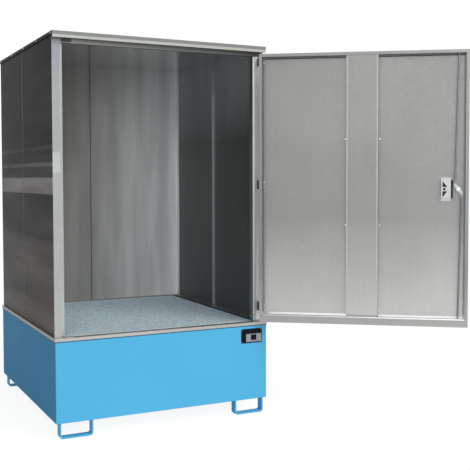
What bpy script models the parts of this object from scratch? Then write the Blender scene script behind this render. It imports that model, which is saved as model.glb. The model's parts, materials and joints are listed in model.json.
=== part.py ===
"""Dangerous goods storage cabinet: a galvanised sheet cabinet on a painted steel sump.

The sump stands on four bent feet and carries a rim, two lift-out gratings, posts, wall panels,
a header and a roof. One wide door hangs on three hinges at the right and stands open. Its turn
handle works a cam that drives two lock rods.

Lengths are in metres. The cabinet is laid out from the sump's front left corner on the floor,
+X to the right, +Y to the rear and +Z up, and is then moved so that the origin lies on the floor
under the middle of the whole object with its door open.
"""

import math

import bmesh
import bpy
from mathutils import Matrix, Vector

MM = 0.001

# General
FIT_GAP = 0.3 * MM  # between faces that touch on the real cabinet
OVERRUN = 6 * MM  # how far a cutter runs past the metal
ROUND_SIDES = 16
SMALL_ROUND_SIDES = 12
HEXAGON_SIDES = 6
ARC_STEPS = 4
SHARP_DEGREES = 40

# Body
BODY_WIDTH = 1460 * MM
BODY_DEPTH = 1650 * MM
FOOT_HEIGHT = 100 * MM
SUMP_HEIGHT = 512 * MM
RIM_HEIGHT = 20 * MM
CABINET_HEIGHT = 1890 * MM
SUMP_TOP = FOOT_HEIGHT + SUMP_HEIGHT
DECK = SUMP_TOP + RIM_HEIGHT
BODY_TOP = DECK + CABINET_HEIGHT

# Feet
FOOT_WIDTH = 213 * MM
FOOT_DEPTH = 60 * MM
FOOT_STRAP = 10 * MM
FOOT_INSET = 23 * MM
FOOT_SETBACK = 6 * MM
FOOT_BEND = 22 * MM

# Sump
SUMP_SHEET = 3 * MM
SUMP_FLANGE = 30 * MM

# Rim
RIM_SHEET = 3 * MM
RIM_OVERHANG = 4 * MM
RIM_WIDTH = 76 * MM
RIM_LOWER_FLANGE = 32 * MM
RIM_INNER = RIM_WIDTH - RIM_OVERHANG

# Gratings and their bearers
MAT_HEIGHT = 30 * MM
MAT_BAR = 3 * MM
MAT_PITCH = 34.3 * MM
MAT_CLEARANCE = 3 * MM
MAT_SINK = 2 * MM
MAT_TOP = DECK - MAT_SINK
BEARER_SHEET = 4 * MM
BEARER_DROP = 40 * MM
BEARER_SEAT = 25 * MM
BEARER_WIDTH = 60 * MM
BEARER_TOP = MAT_TOP - MAT_HEIGHT - FIT_GAP

# Walls and their seams
WALL_INSET = 6 * MM
WALL_SHEET = 1.5 * MM
WALL_BOTTOM = DECK + FIT_GAP
SIDE_SEAM_OFFSET = 55 * MM  # behind the middle
REAR_SEAM_OFFSET = 3 * MM  # left of the middle
SIDE_SEAM = BODY_DEPTH / 2 + SIDE_SEAM_OFFSET
REAR_SEAM = BODY_WIDTH / 2 - REAR_SEAM_OFFSET
RIB_SHEET = 1.5 * MM
RIB_BASE = 74 * MM
RIB_FACE = 46 * MM
RIB_DEPTH = 18 * MM

# Posts and corners
DOOR_THICKNESS = 45 * MM
DOOR_BACK_GAP = 5 * MM
FRONT_PLANE = DOOR_THICKNESS + DOOR_BACK_GAP  # the posts' faces, behind the closed door
POST_SHEET = 2 * MM
POST_FACE = 47 * MM
POST_STEP_WIDTH = 18 * MM
POST_STEP_DEPTH = 8 * MM
POST_SIDE = 60 * MM
POST_RETURN = 50 * MM
CORNER_SHEET = 2 * MM
CORNER_LEG = 50 * MM

# Roof and header
ROOF_SHEET = 1.5 * MM
ROOF_SKIRT = 21 * MM
ROOF_UNDERSIDE = BODY_TOP - ROOF_SHEET - FIT_GAP
HEADER_SHEET = 2 * MM
HEADER_DROP = 40 * MM
HEADER_TOP_FLANGE = 38 * MM
HEADER_NOTCH = 4 * MM
HEADER_UNDERSIDE = BODY_TOP - HEADER_DROP
STOP_DROP = 26 * MM
STOP_RETURN = 25 * MM
STOP_BOTTOM = HEADER_UNDERSIDE - STOP_DROP

# Nameplate on the sump's front
PLATE_WIDTH = 159 * MM
PLATE_HEIGHT = 99 * MM
PLATE_SHEET = 1.5 * MM
PLATE_SIDE_MARGIN = 33 * MM
PLATE_DROP = 23 * MM

# Door, laid out closed
DOOR_SIDE_MARGIN = 31 * MM
DOOR_BOTTOM_GAP = 6 * MM
DOOR_TOP_GAP = 20 * MM
DOOR_SHEET = 1.5 * MM
DOOR_LIP = 30 * MM
DOOR_BOTTOM_LIP = 54 * MM
DOOR_LEFT = DOOR_SIDE_MARGIN
DOOR_RIGHT = BODY_WIDTH - DOOR_SIDE_MARGIN
DOOR_BOTTOM = DECK + DOOR_BOTTOM_GAP
DOOR_TOP = HEADER_UNDERSIDE - DOOR_TOP_GAP
DOOR_MIDDLE_X = (DOOR_LEFT + DOOR_RIGHT) / 2
DOOR_MIDDLE_Z = (DOOR_BOTTOM + DOOR_TOP) / 2
SKIN_INSIDE = DOOR_SHEET + FIT_GAP
LEDGE_FLANGE = 18 * MM
LEDGE_SLOPE = 12 * MM  # its rise and its reach from the skin
STIFFENER_SHEET = 1.5 * MM
STIFFENER_BASE = 268 * MM
STIFFENER_FACE = 210 * MM
STIFFENER_SETBACK = 7 * MM
STIFFENER_DEPTH = DOOR_THICKNESS - STIFFENER_SETBACK

# Hinges
AXIS_FORWARD = 8 * MM  # the axis in front of the door's skin
AXIS_INSET = 7 * MM  # the axis inside the door's edge
OPEN_DEGREES = 142
LOW_HINGE_RISE = 95 * MM  # its centre above the door's bottom
HIGH_HINGE_DROP = 39 * MM  # its centre below the door's top
HINGE_HEIGHT = 60 * MM
HINGE_STRAP = 3 * MM
KNUCKLE_RADIUS = 6.5 * MM
PIN_RADIUS = 4 * MM
HINGE_EDGE_CLEARANCE = 2 * MM
FRAME_LEAF_FOOT = 20 * MM
FRAME_LEAF_RELIEF = 11 * MM
DOOR_LEAF_LENGTH = 45 * MM
DOOR_LEAF_RELIEF = 16 * MM
AXIS_X = DOOR_RIGHT - AXIS_INSET
AXIS_Y = -AXIS_FORWARD

# Hinge bolts through the door
BOLT_FROM_EDGE = 26.5 * MM
BOLT_SPACING = 32 * MM
BOLT_RADIUS = 3 * MM
BOLT_HEAD_RADIUS = 6 * MM
BOLT_HEAD = 2.5 * MM
BOLT_NUT_RADIUS = 6.5 * MM
BOLT_NUT = 5 * MM
NUT_CLEARANCE = 2 * MM  # between a nut and the ledge

# Pull grip, set into the door
GRIP_FROM_EDGE = 102 * MM  # to the door's free edge
GRIP_WIDTH = 77 * MM
GRIP_HEIGHT = 118 * MM
GRIP_LEFT = DOOR_LEFT + GRIP_FROM_EDGE
GRIP_BOTTOM = DOOR_MIDDLE_Z - GRIP_HEIGHT / 2
GRIP_DEPTH = 24 * MM
GRIP_WALL = 2 * MM
GRIP_FLANGE = 8 * MM
GRIP_FLANGE_SHEET = 3 * MM
BRACKET_SHEET = 2 * MM
BRACKET_WIDTH = 63 * MM
BRACKET_FLANGE = 18 * MM
WINDOW_WIDTH = 32 * MM
WINDOW_MARGIN = 9 * MM
WINDOW_HEIGHT = 40 * MM
WINDOW_HOLE_RADIUS = 9 * MM
WINDOW_HOLE_RING = 5 * MM  # metal left between the hole and each window
WINDOW_HOLE_INSET = 12 * MM  # its centre past the windows' outer edge

# Lock: turn handle, cam and rods
LOCK_FROM_EDGE = 67 * MM  # cam axis to the door's free edge
LOCK_RISE = 1 * MM  # above the door's middle
LOCK_REST_DEGREES = 38  # how far the cam stands from locked
CAM_RADIUS = 34 * MM
CAM_SHEET = 3.2 * MM
CAM_BAR = 22 * MM
CAM_HUB_RADIUS = 16 * MM
CAM_GRIP_GAP = 1 * MM  # the cam swings past the grip's back
CAM_DEPTH = GRIP_DEPTH + CAM_GRIP_GAP  # its outer face behind the skin's front
CAM_PIN_RADIUS = 4 * MM
CAM_PIN_HEAD_RADIUS = 6.5 * MM
CAM_PIN_HEAD = 2 * MM
SPINDLE_RADIUS = 6 * MM
SPINDLE_HEAD_RADIUS = 9.5 * MM
SPINDLE_HEAD = 5 * MM
BUSH_RADIUS = 11.7 * MM
BUSH_FLANGE_RADIUS = 26 * MM
BUSH_FLANGE = 4 * MM
BUSH_NUT_RADIUS = 17 * MM
BUSH_NUT = 6 * MM
HANDLE_HUB_RADIUS = 20 * MM
HANDLE_HUB = 12 * MM
HANDLE_LENGTH = 110 * MM
HANDLE_WIDTH = 20 * MM
HANDLE_GRIP = 24 * MM
HANDLE_ROUND = 5 * MM
PLUG_RADIUS = 6.2 * MM
PLUG_LENGTH = 18 * MM
PLUG_SLOT = 1.6 * MM
PLUG_SLOT_LENGTH = 8 * MM
PLUG_SLOT_DEPTH = 3 * MM
ROD_RADIUS = 5 * MM
ROD_PROUD = 2 * MM  # past the door's edge at rest
ROD_EYE_RADIUS = 9 * MM
ROD_EYE_SHEET = 3 * MM
ROD_EYE_LENGTH = 34 * MM
ROD_SWAY = 5 * MM  # room for a rod's end to each side in its guides
ROD_DEPTH = CAM_DEPTH + CAM_SHEET + FIT_GAP + ROD_EYE_SHEET / 2  # its axis behind the skin's front
GUIDE_WIDTH = 44 * MM
GUIDE_HEIGHT = 16 * MM
GUIDE_SETBACK = 5 * MM
GUIDE_BACK = DOOR_THICKNESS - GUIDE_SETBACK
LOCK_X = DOOR_LEFT + LOCK_FROM_EDGE
LOCK_Z = DOOR_MIDDLE_Z + LOCK_RISE

# Strikes for the rods
STRIKE_SHEET = 2 * MM
LOWER_STRIKE_WIDTH = 48 * MM
LOWER_STRIKE_DEPTH = 34 * MM
UPPER_STRIKE_WIDTH = 60 * MM
UPPER_STRIKE_REACH = 18 * MM  # in front of the rod's axis
UPPER_STRIKE_SETBACK = 4 * MM  # in front of the header's stop
UPPER_STRIKE_RISE = 4 * MM  # above the door's top

# Which way local axes point: the profile's plane is local XY, its length local Z
UPRIGHT = Matrix.Identity(3)
ALONG_X = Matrix(((0, 0, 1), (1, 0, 0), (0, 1, 0)))  # drawn in Y and Z
ALONG_Y = Matrix(((1, 0, 0), (0, 0, -1), (0, 1, 0)))  # drawn in X and Z, length towards the front

parts = bpy.data.collections.new("dangerous_goods_cabinet")
cutters = bpy.data.collections.new("cutters")


def clear_scene():
    """Removes what the startup scene holds and links the two collections."""
    for obj in list(bpy.data.objects):
        bpy.data.objects.remove(obj, do_unlink=True)
    for collection in (parts, cutters):
        bpy.context.scene.collection.children.link(collection)


def linear(channel):
    """One sRGB channel from 0 to 255 as a linear value."""
    share = channel / 255
    return share / 12.92 if share <= 0.04045 else ((share + 0.055) / 1.055) ** 2.4


def make_material(name, colour, roughness, metallic):
    material = bpy.data.materials.new(name)
    material.use_nodes = True
    shader = material.node_tree.nodes["Principled BSDF"]
    shader.inputs["Base Color"].default_value = (*(linear(channel) for channel in colour), 1)
    shader.inputs["Roughness"].default_value = roughness
    shader.inputs["Metallic"].default_value = metallic
    return material


BLUE = make_material("blue_paint", (60, 150, 205), 0.4, 0.0)
ZINC = make_material("galvanised_sheet", (168, 172, 175), 0.38, 0.85)
HOT_DIP = make_material("hot_dip_zinc", (150, 165, 168), 0.6, 0.7)
BRIGHT_STEEL = make_material("bright_steel", (190, 192, 194), 0.25, 1.0)
BLACK = make_material("black_plastic", (32, 32, 34), 0.5, 0.0)


def add_object(name, data, material, parent, location=(0, 0, 0), turn=UPRIGHT):
    """A named object in the parts collection, standing at location in its parent's frame."""
    obj = bpy.data.objects.new(name, data)
    parts.objects.link(obj)
    data.materials.append(material)
    obj.parent = parent
    obj.location = location
    obj.rotation_euler = turn.to_euler()
    return obj


def add_empty(name, parent, location, turn=(0, 0, 0)):
    """A frame that other objects hang on."""
    empty = bpy.data.objects.new(name, None)
    parts.objects.link(empty)
    empty.parent = parent
    empty.location = location
    empty.rotation_euler = turn
    return empty


def as_cutter(obj):
    """Takes an object out of the parts, as one that only cuts or joins."""
    parts.objects.unlink(obj)
    cutters.objects.link(obj)
    obj.hide_render = True
    obj.display_type = "WIRE"
    return obj


def combine(obj, other, operation):
    """Cuts other from obj, or joins it to obj, with a Boolean."""
    modifier = obj.modifiers.new(other.name, "BOOLEAN")
    modifier.operation = operation
    modifier.object = as_cutter(other) if other.name in parts.objects else other
    modifier.solver = "EXACT"


def cut(obj, *others):
    for other in others:
        combine(obj, other, "DIFFERENCE")


def join(obj, *others):
    for other in others:
        combine(obj, other, "UNION")


def mesh_from(name, work):
    mesh = bpy.data.meshes.new(name)
    work.to_mesh(mesh)
    work.free()
    return mesh


def box_work(size):
    work = bmesh.new()
    bmesh.ops.create_cube(work, size=1)
    bmesh.ops.scale(work, vec=size, verts=work.verts)
    return work


def box(name, low, high, material, parent):
    """A solid block between two corners."""
    low, high = Vector(low), Vector(high)
    mesh = mesh_from(name, box_work(high - low))
    return add_object(name, mesh, material, parent, (low + high) / 2)


def cylinder(name, radius, start, length, turn, material, parent, sides=ROUND_SIDES):
    """A round bar that runs from start along the turned local Z."""
    work = bmesh.new()
    bmesh.ops.create_cone(
        work, cap_ends=True, segments=sides, radius1=radius, radius2=radius, depth=length
    )
    bmesh.ops.translate(work, vec=(0, 0, length / 2), verts=work.verts)
    mesh = mesh_from(name, work)
    mesh.shade_smooth()
    mesh.set_sharp_from_angle(angle=math.radians(SHARP_DEGREES))
    return add_object(name, mesh, material, parent, start, turn)


def face_towards(work, direction):
    """The face of a box whose normal points the given way."""
    work.normal_update()
    return max(work.faces, key=lambda face: face.normal.dot(Vector(direction)))


def open_face(work, direction, lip=0):
    """Opens a box on one side, leaving a lip of the given width round the opening."""
    face = face_towards(work, direction)
    if lip:
        bmesh.ops.inset_region(work, faces=[face], thickness=lip)
    bmesh.ops.delete(work, geom=[face], context="FACES")


def thicken(obj, sheet, side=1):
    """Gives a surface its sheet thickness, on the side away from its normals."""
    modifier = obj.modifiers.new("sheet", "SOLIDIFY")
    modifier.thickness = sheet
    modifier.offset = -side
    modifier.use_even_offset = True


def folded(name, path, length, sheet, side, material, parent, location=(0, 0, 0), turn=UPRIGHT):
    """A folded sheet profile: the path drawn in local XY, drawn out along local Z.

    The metal lies to the left of the path for side 1, and to its right for side -1.
    """
    work = bmesh.new()
    points = [work.verts.new((x, y, 0)) for x, y in path]
    edges = [work.edges.new(pair) for pair in zip(points, points[1:])]
    made = bmesh.ops.extrude_edge_only(work, edges=edges)["geom"]
    raised = [item for item in made if isinstance(item, bmesh.types.BMVert)]
    bmesh.ops.translate(work, vec=(0, 0, length), verts=raised)
    bmesh.ops.recalc_face_normals(work, faces=list(work.faces))
    start = min(work.faces, key=lambda face: (face.calc_center_median() - points[0].co).length)
    to_right = (points[1].co - points[0].co).cross(Vector((0, 0, 1)))
    if start.normal.dot(to_right) < 0:
        bmesh.ops.reverse_faces(work, faces=list(work.faces))
    obj = add_object(name, mesh_from(name, work), material, parent, location, turn)
    thicken(obj, sheet, side)
    return obj


def rounded(path, radius):
    """The path with each inner corner replaced by an arc."""
    points = [Vector(path[0])]
    for before, corner, after in zip(path, path[1:], path[2:]):
        corner = Vector(corner)
        back = (Vector(before) - corner).normalized()
        on = (Vector(after) - corner).normalized()
        reach = radius / math.tan(back.angle(on) / 2)
        start, end = corner + back * reach, corner + on * reach
        centre = corner + (back + on).normalized() * math.hypot(radius, reach)
        sweep = (start - centre).angle_signed(end - centre)
        for step in range(ARC_STEPS + 1):
            turned = (start - centre).copy()
            turned.rotate(Matrix.Rotation(-sweep * step / ARC_STEPS, 2))
            points.append(centre + turned)
    points.append(Vector(path[-1]))
    return points


def mirrored(path, middle):
    """The path mirrored across a line at the given first coordinate."""
    return [(2 * middle - first, second) for first, second in path]


def hat(centre, base, face, seat, depth):
    """The path of a hat profile whose flanges lie at seat, open towards it."""
    return [
        (centre - base / 2, seat),
        (centre - face / 2, seat),
        (centre - face / 2, seat + depth),
        (centre + face / 2, seat + depth),
        (centre + face / 2, seat),
        (centre + base / 2, seat),
    ]


def add_foot(name, left, front, cabinet):
    """A flat bar bent into a loop under the sump."""
    top = FOOT_HEIGHT - FIT_GAP
    path = [(0, top), (0, 0), (FOOT_WIDTH, 0), (FOOT_WIDTH, top)]
    rear = front + FOOT_DEPTH
    folded(
        name, rounded(path, FOOT_BEND), FOOT_DEPTH, FOOT_STRAP, 1, BLUE, cabinet,
        (left, rear, 0), ALONG_Y,
    )


def add_feet(cabinet):
    right = BODY_WIDTH - FOOT_INSET - FOOT_WIDTH
    rear = BODY_DEPTH - FOOT_SETBACK - FOOT_DEPTH
    for depth_name, front in (("front", FOOT_SETBACK), ("rear", rear)):
        for side_name, left in (("left", FOOT_INSET), ("right", right)):
            add_foot(f"foot_{depth_name}_{side_name}", left, front, cabinet)


def add_sump(cabinet):
    """The leak-proof tray, with a flange turned in round its top."""
    work = box_work(Vector((BODY_WIDTH, BODY_DEPTH, SUMP_HEIGHT)))
    open_face(work, (0, 0, 1), SUMP_FLANGE)
    centre = (BODY_WIDTH / 2, BODY_DEPTH / 2, FOOT_HEIGHT + SUMP_HEIGHT / 2)
    sump = add_object("sump_tray", mesh_from("sump_tray", work), BLUE, cabinet, centre)
    thicken(sump, SUMP_SHEET)


def add_rim(cabinet):
    """A folded channel ring: a face, a wide ledge on top and a flange on the sump."""
    height = RIM_HEIGHT - FIT_GAP
    width = BODY_WIDTH + 2 * RIM_OVERHANG
    depth = BODY_DEPTH + 2 * RIM_OVERHANG
    work = box_work(Vector((width, depth, height)))
    open_face(work, (0, 0, 1), RIM_WIDTH)
    open_face(work, (0, 0, -1), RIM_LOWER_FLANGE)
    centre = (BODY_WIDTH / 2, BODY_DEPTH / 2, DECK - height / 2)
    rim = add_object("base_rim", mesh_from("base_rim", work), ZINC, cabinet, centre)
    thicken(rim, RIM_SHEET)
    cut(rim, rod_slot("rim_rod_hole", cabinet, DECK - RIM_SHEET, DECK))


def rod_slot(name, parent, low, high, centre=(LOCK_X, ROD_DEPTH)):
    """A cutter for the slot that a rod's end passes and sways in."""
    reach = Vector((ROD_RADIUS + ROD_SWAY, ROD_RADIUS + FIT_GAP, 0))
    middle = Vector((*centre, 0))
    bottom, top = Vector((0, 0, low - OVERRUN)), Vector((0, 0, high + OVERRUN))
    return as_cutter(box(name, middle - reach + bottom, middle + reach + top, ZINC, parent))


def add_bearers(cabinet):
    """Three profiles across the sump that carry the gratings."""
    wall = SUMP_SHEET + FIT_GAP
    length = BODY_WIDTH - 2 * wall
    reach = RIM_INNER + MAT_CLEARANCE + BEARER_SEAT
    front = [(wall, BEARER_TOP - BEARER_DROP), (wall, BEARER_TOP), (reach, BEARER_TOP)]
    middle = BODY_DEPTH / 2
    left, right = middle - BEARER_WIDTH / 2, middle + BEARER_WIDTH / 2
    channel = [
        (left, BEARER_TOP - BEARER_DROP), (left, BEARER_TOP),
        (right, BEARER_TOP), (right, BEARER_TOP - BEARER_DROP),
    ]
    profiles = {
        "grating_bearer_front": (front, -1),
        "grating_bearer_middle": (channel, -1),
        "grating_bearer_rear": (mirrored(front, middle), 1),
    }
    for name, (path, side) in profiles.items():
        folded(name, path, length, BEARER_SHEET, side, BLUE, cabinet, (wall, 0, 0), ALONG_X)


def add_grating(name, left, right, cabinet):
    """A lift-out mat of upright bars in a frame, with slots right through."""
    front = RIM_INNER + MAT_CLEARANCE
    rear = BODY_DEPTH - front
    bottom = MAT_TOP - MAT_HEIGHT
    width = right - left
    slots = int((width - MAT_BAR) / MAT_PITCH)
    pitch = (width - MAT_BAR) / slots
    mat = box(name, (left, front, bottom), (right, rear, MAT_TOP), HOT_DIP, cabinet)
    slot = box(
        f"{name}_slots",
        (left + MAT_BAR, front + MAT_BAR, bottom - OVERRUN),
        (left + pitch, rear - MAT_BAR, MAT_TOP + OVERRUN),
        HOT_DIP, cabinet,
    )
    repeat = slot.modifiers.new("repeat", "ARRAY")
    repeat.count = slots
    repeat.use_relative_offset = False
    repeat.use_constant_offset = True
    repeat.constant_offset_displace = (pitch, 0, 0)
    cut(mat, slot)


def add_gratings(cabinet):
    middle = BODY_WIDTH / 2
    edge = RIM_INNER + MAT_CLEARANCE
    add_grating("grating_left", edge, middle - MAT_CLEARANCE / 2, cabinet)
    add_grating("grating_right", middle + MAT_CLEARANCE / 2, BODY_WIDTH - edge, cabinet)


def add_walls(cabinet):
    """Flat panels round three sides: two at each side and two at the rear."""
    rear_outer = BODY_DEPTH - WALL_INSET
    rear_inner = rear_outer - WALL_SHEET
    sides = {
        "left": (WALL_INSET, WALL_INSET + WALL_SHEET),
        "right": (BODY_WIDTH - WALL_INSET - WALL_SHEET, BODY_WIDTH - WALL_INSET),
    }
    spans = {
        "front": (FRONT_PLANE, SIDE_SEAM - FIT_GAP / 2),
        "rear": (SIDE_SEAM + FIT_GAP / 2, rear_inner - FIT_GAP),
    }
    for side, (low, high) in sides.items():
        for span, (start, end) in spans.items():
            box(
                f"wall_{side}_{span}", (low, start, WALL_BOTTOM), (high, end, ROOF_UNDERSIDE),
                ZINC, cabinet,
            )
    rear_spans = {
        "left": (WALL_INSET, REAR_SEAM - FIT_GAP / 2),
        "right": (REAR_SEAM + FIT_GAP / 2, BODY_WIDTH - WALL_INSET),
    }
    for side, (start, end) in rear_spans.items():
        box(
            f"wall_rear_{side}", (start, rear_inner, WALL_BOTTOM),
            (end, rear_outer, ROOF_UNDERSIDE), ZINC, cabinet,
        )


def add_ribs(cabinet):
    """A hat profile behind each seam, and an angle in each rear corner."""
    height = ROOF_UNDERSIDE - WALL_BOTTOM
    seat = WALL_INSET + WALL_SHEET + FIT_GAP
    rear_seat = BODY_DEPTH - seat
    path = hat(0, RIB_BASE, RIB_FACE, 0, RIB_DEPTH)
    seams = {
        "seam_rib_left": (seat, SIDE_SEAM, -90),
        "seam_rib_right": (BODY_WIDTH - seat, SIDE_SEAM, 90),
        "seam_rib_rear": (REAR_SEAM, rear_seat, 180),
    }
    for name, (x, y, degrees) in seams.items():
        turn = Matrix.Rotation(math.radians(degrees), 3, "Z")
        folded(
            name, path, height, RIB_SHEET, 1, ZINC, cabinet, (x, y, WALL_BOTTOM), turn
        )
    corner = [(0, -CORNER_LEG), (0, 0), (CORNER_LEG, 0)]
    folded(
        "corner_rear_left", corner, height, CORNER_SHEET, -1, ZINC, cabinet,
        (seat, rear_seat, WALL_BOTTOM),
    )
    folded(
        "corner_rear_right", mirrored(corner, 0), height, CORNER_SHEET, 1, ZINC, cabinet,
        (BODY_WIDTH - seat, rear_seat, WALL_BOTTOM),
    )


def add_posts(cabinet):
    """The front posts: a face, a stepped inner edge and a leg back on each side."""
    height = STOP_BOTTOM - FIT_GAP - WALL_BOTTOM
    side = WALL_INSET + WALL_SHEET + FIT_GAP
    crease = side + POST_FACE
    inner = crease + POST_STEP_WIDTH
    step = FRONT_PLANE + POST_STEP_DEPTH
    path = [
        (side, FRONT_PLANE + POST_SIDE),
        (side, FRONT_PLANE),
        (crease, FRONT_PLANE),
        (inner, step),
        (inner, step + POST_RETURN),
    ]
    folded(
        "post_left", path, height, POST_SHEET, 1, ZINC, cabinet, (0, 0, WALL_BOTTOM)
    )
    folded(
        "post_right", mirrored(path, BODY_WIDTH / 2), height, POST_SHEET, -1, ZINC, cabinet,
        (0, 0, WALL_BOTTOM),
    )


def add_roof(cabinet):
    """A shallow lid with a skirt folded down all round."""
    work = box_work(Vector((BODY_WIDTH, BODY_DEPTH, ROOF_SKIRT)))
    open_face(work, (0, 0, -1))
    centre = (BODY_WIDTH / 2, BODY_DEPTH / 2, BODY_TOP - ROOF_SKIRT / 2)
    roof = add_object("roof", mesh_from("roof", work), ZINC, cabinet, centre)
    thicken(roof, ROOF_SHEET)


def add_header(cabinet):
    """The fascia over the door, with the stop that hangs behind the closed door's top."""
    front = ROOF_SHEET + FIT_GAP
    path = [
        (front + HEADER_TOP_FLANGE, ROOF_UNDERSIDE),
        (front, ROOF_UNDERSIDE),
        (front, HEADER_UNDERSIDE),
        (FRONT_PLANE, HEADER_UNDERSIDE),
        (FRONT_PLANE, STOP_BOTTOM),
        (FRONT_PLANE + STOP_RETURN, STOP_BOTTOM),
    ]
    length = BODY_WIDTH - 2 * front
    header = folded(
        "header", path, length, HEADER_SHEET, 1, ZINC, cabinet, (front, 0, 0), ALONG_X
    )
    wall = WALL_INSET + WALL_SHEET + FIT_GAP
    low = FRONT_PLANE - HEADER_NOTCH
    high = FRONT_PLANE + STOP_RETURN + OVERRUN
    ends = {"left": (-OVERRUN, wall), "right": (BODY_WIDTH - wall, BODY_WIDTH + OVERRUN)}
    for side, (start, end) in ends.items():
        notch = box(
            f"header_notch_{side}", (start, low, STOP_BOTTOM - OVERRUN),
            (end, high, ROOF_UNDERSIDE + OVERRUN), ZINC, cabinet,
        )
        cut(header, notch)


def add_strikes(cabinet):
    """The plates that the rods' ends lock into, on the rim and under the header."""
    bottom = DECK + FIT_GAP
    lower = box(
        "lower_strike",
        (LOCK_X - LOWER_STRIKE_WIDTH / 2, ROD_DEPTH - LOWER_STRIKE_DEPTH / 2, bottom),
        (LOCK_X + LOWER_STRIKE_WIDTH / 2, ROD_DEPTH + LOWER_STRIKE_DEPTH / 2,
         bottom + STRIKE_SHEET),
        BRIGHT_STEEL, cabinet,
    )
    cut(lower, rod_slot("lower_strike_hole", cabinet, bottom, bottom + STRIKE_SHEET))
    level = DOOR_TOP + UPPER_STRIKE_RISE
    back = FRONT_PLANE - UPPER_STRIKE_SETBACK
    path = [
        (ROD_DEPTH - UPPER_STRIKE_REACH, level),
        (back, level),
        (back, HEADER_UNDERSIDE - FIT_GAP),
    ]
    left = LOCK_X - UPPER_STRIKE_WIDTH / 2
    upper = folded(
        "upper_strike", path, UPPER_STRIKE_WIDTH, STRIKE_SHEET, 1, BRIGHT_STEEL, cabinet,
        (left, 0, 0), ALONG_X,
    )
    cut(upper, rod_slot("upper_strike_hole", cabinet, level, level + STRIKE_SHEET))


def add_nameplate(cabinet):
    right = BODY_WIDTH - PLATE_SIDE_MARGIN
    top = SUMP_TOP - PLATE_DROP
    box(
        "nameplate", (right - PLATE_WIDTH, -FIT_GAP - PLATE_SHEET, top - PLATE_HEIGHT),
        (right, -FIT_GAP, top), BLACK, cabinet,
    )


def in_door(x, y, z):
    """A place on the closed door, in the frame of its hinge axis."""
    return Vector((x - AXIS_X, y - AXIS_Y, z))


def hinge_centres():
    """The hinges' heights: one near each end of the door, and one midway."""
    low = DOOR_BOTTOM + LOW_HINGE_RISE
    high = DOOR_TOP - HIGH_HINGE_DROP
    return [low, (low + high) / 2, high]


def bolt_heights():
    """The hinge bolts' heights, two to a hinge."""
    return [
        centre + offset
        for centre in hinge_centres()
        for offset in (-BOLT_SPACING / 2, BOLT_SPACING / 2)
    ]


def add_frame_leaf(number, centre, cabinet):
    """The fixed leaf: a foot on the post, a leg past the door's edge and the lower knuckle."""
    name = f"hinge_frame_leaf_{number}"
    back = FRONT_PLANE - FIT_GAP
    leg = DOOR_RIGHT + HINGE_EDGE_CLEARANCE + HINGE_STRAP
    front = AXIS_Y - KNUCKLE_RADIUS
    bottom = centre - HINGE_HEIGHT / 2
    path = [(leg - FRAME_LEAF_FOOT, back), (leg, back), (leg, front), (AXIS_X, front)]
    leaf = folded(
        name, path, HINGE_HEIGHT, HINGE_STRAP, -1, BRIGHT_STEEL, cabinet, (0, 0, bottom)
    )
    knuckle = cylinder(
        f"{name}_knuckle", KNUCKLE_RADIUS, (AXIS_X, AXIS_Y, bottom),
        HINGE_HEIGHT / 2 - FIT_GAP / 2, UPRIGHT, BRIGHT_STEEL, cabinet,
    )
    relief = box(
        f"{name}_relief", (AXIS_X - OVERRUN - KNUCKLE_RADIUS, front - OVERRUN, centre - FIT_GAP / 2),
        (leg + OVERRUN, front + FRAME_LEAF_RELIEF, centre + HINGE_HEIGHT / 2 + OVERRUN),
        BRIGHT_STEEL, cabinet,
    )
    bore = pin_bore(f"{name}_bore", centre, (AXIS_X, AXIS_Y), cabinet)
    join(leaf, knuckle)
    cut(leaf, relief, bore)


def pin_bore(name, centre, place, parent):
    length = HINGE_HEIGHT + 2 * OVERRUN
    start = (*place, centre - length / 2)
    return cylinder(
        name, PIN_RADIUS + FIT_GAP, start, length, UPRIGHT, BRIGHT_STEEL, parent
    )


def add_door_leaf(number, centre, door):
    """The moving leaf: a plate on the door's skin and the upper knuckle."""
    name = f"hinge_door_leaf_{number}"
    low = centre - HINGE_HEIGHT / 2
    high = centre + HINGE_HEIGHT / 2
    outer = -FIT_GAP - HINGE_STRAP
    leaf = box(
        name, in_door(AXIS_X - DOOR_LEAF_LENGTH, outer, low), in_door(AXIS_X, -FIT_GAP, high),
        BRIGHT_STEEL, door,
    )
    relief = box(
        f"{name}_relief", in_door(AXIS_X - DOOR_LEAF_RELIEF, outer - OVERRUN, low - OVERRUN),
        in_door(AXIS_X + OVERRUN, OVERRUN, centre + FIT_GAP / 2), BRIGHT_STEEL, door,
    )
    knuckle = cylinder(
        f"{name}_knuckle", KNUCKLE_RADIUS, in_door(AXIS_X, AXIS_Y, centre + FIT_GAP / 2),
        HINGE_HEIGHT / 2 - FIT_GAP / 2, UPRIGHT, BRIGHT_STEEL, door,
    )
    cut(leaf, relief)
    join(leaf, knuckle)
    cut(leaf, pin_bore(f"{name}_bore", centre, (0, 0), door))
    return leaf


def add_hinges(cabinet, door, bolt_holes):
    """Three lift-off hinges: a fixed leaf with its pin, and a leaf bolted to the door."""
    for number, centre in enumerate(hinge_centres(), start=1):
        add_frame_leaf(number, centre, cabinet)
        cylinder(
            f"hinge_pin_{number}", PIN_RADIUS, (AXIS_X, AXIS_Y, centre - HINGE_HEIGHT / 2),
            HINGE_HEIGHT, UPRIGHT, BRIGHT_STEEL, cabinet,
        )
        leaf = add_door_leaf(number, centre, door)
        first = 2 * (number - 1)
        cut(leaf, *bolt_holes[first : first + 2])


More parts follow.
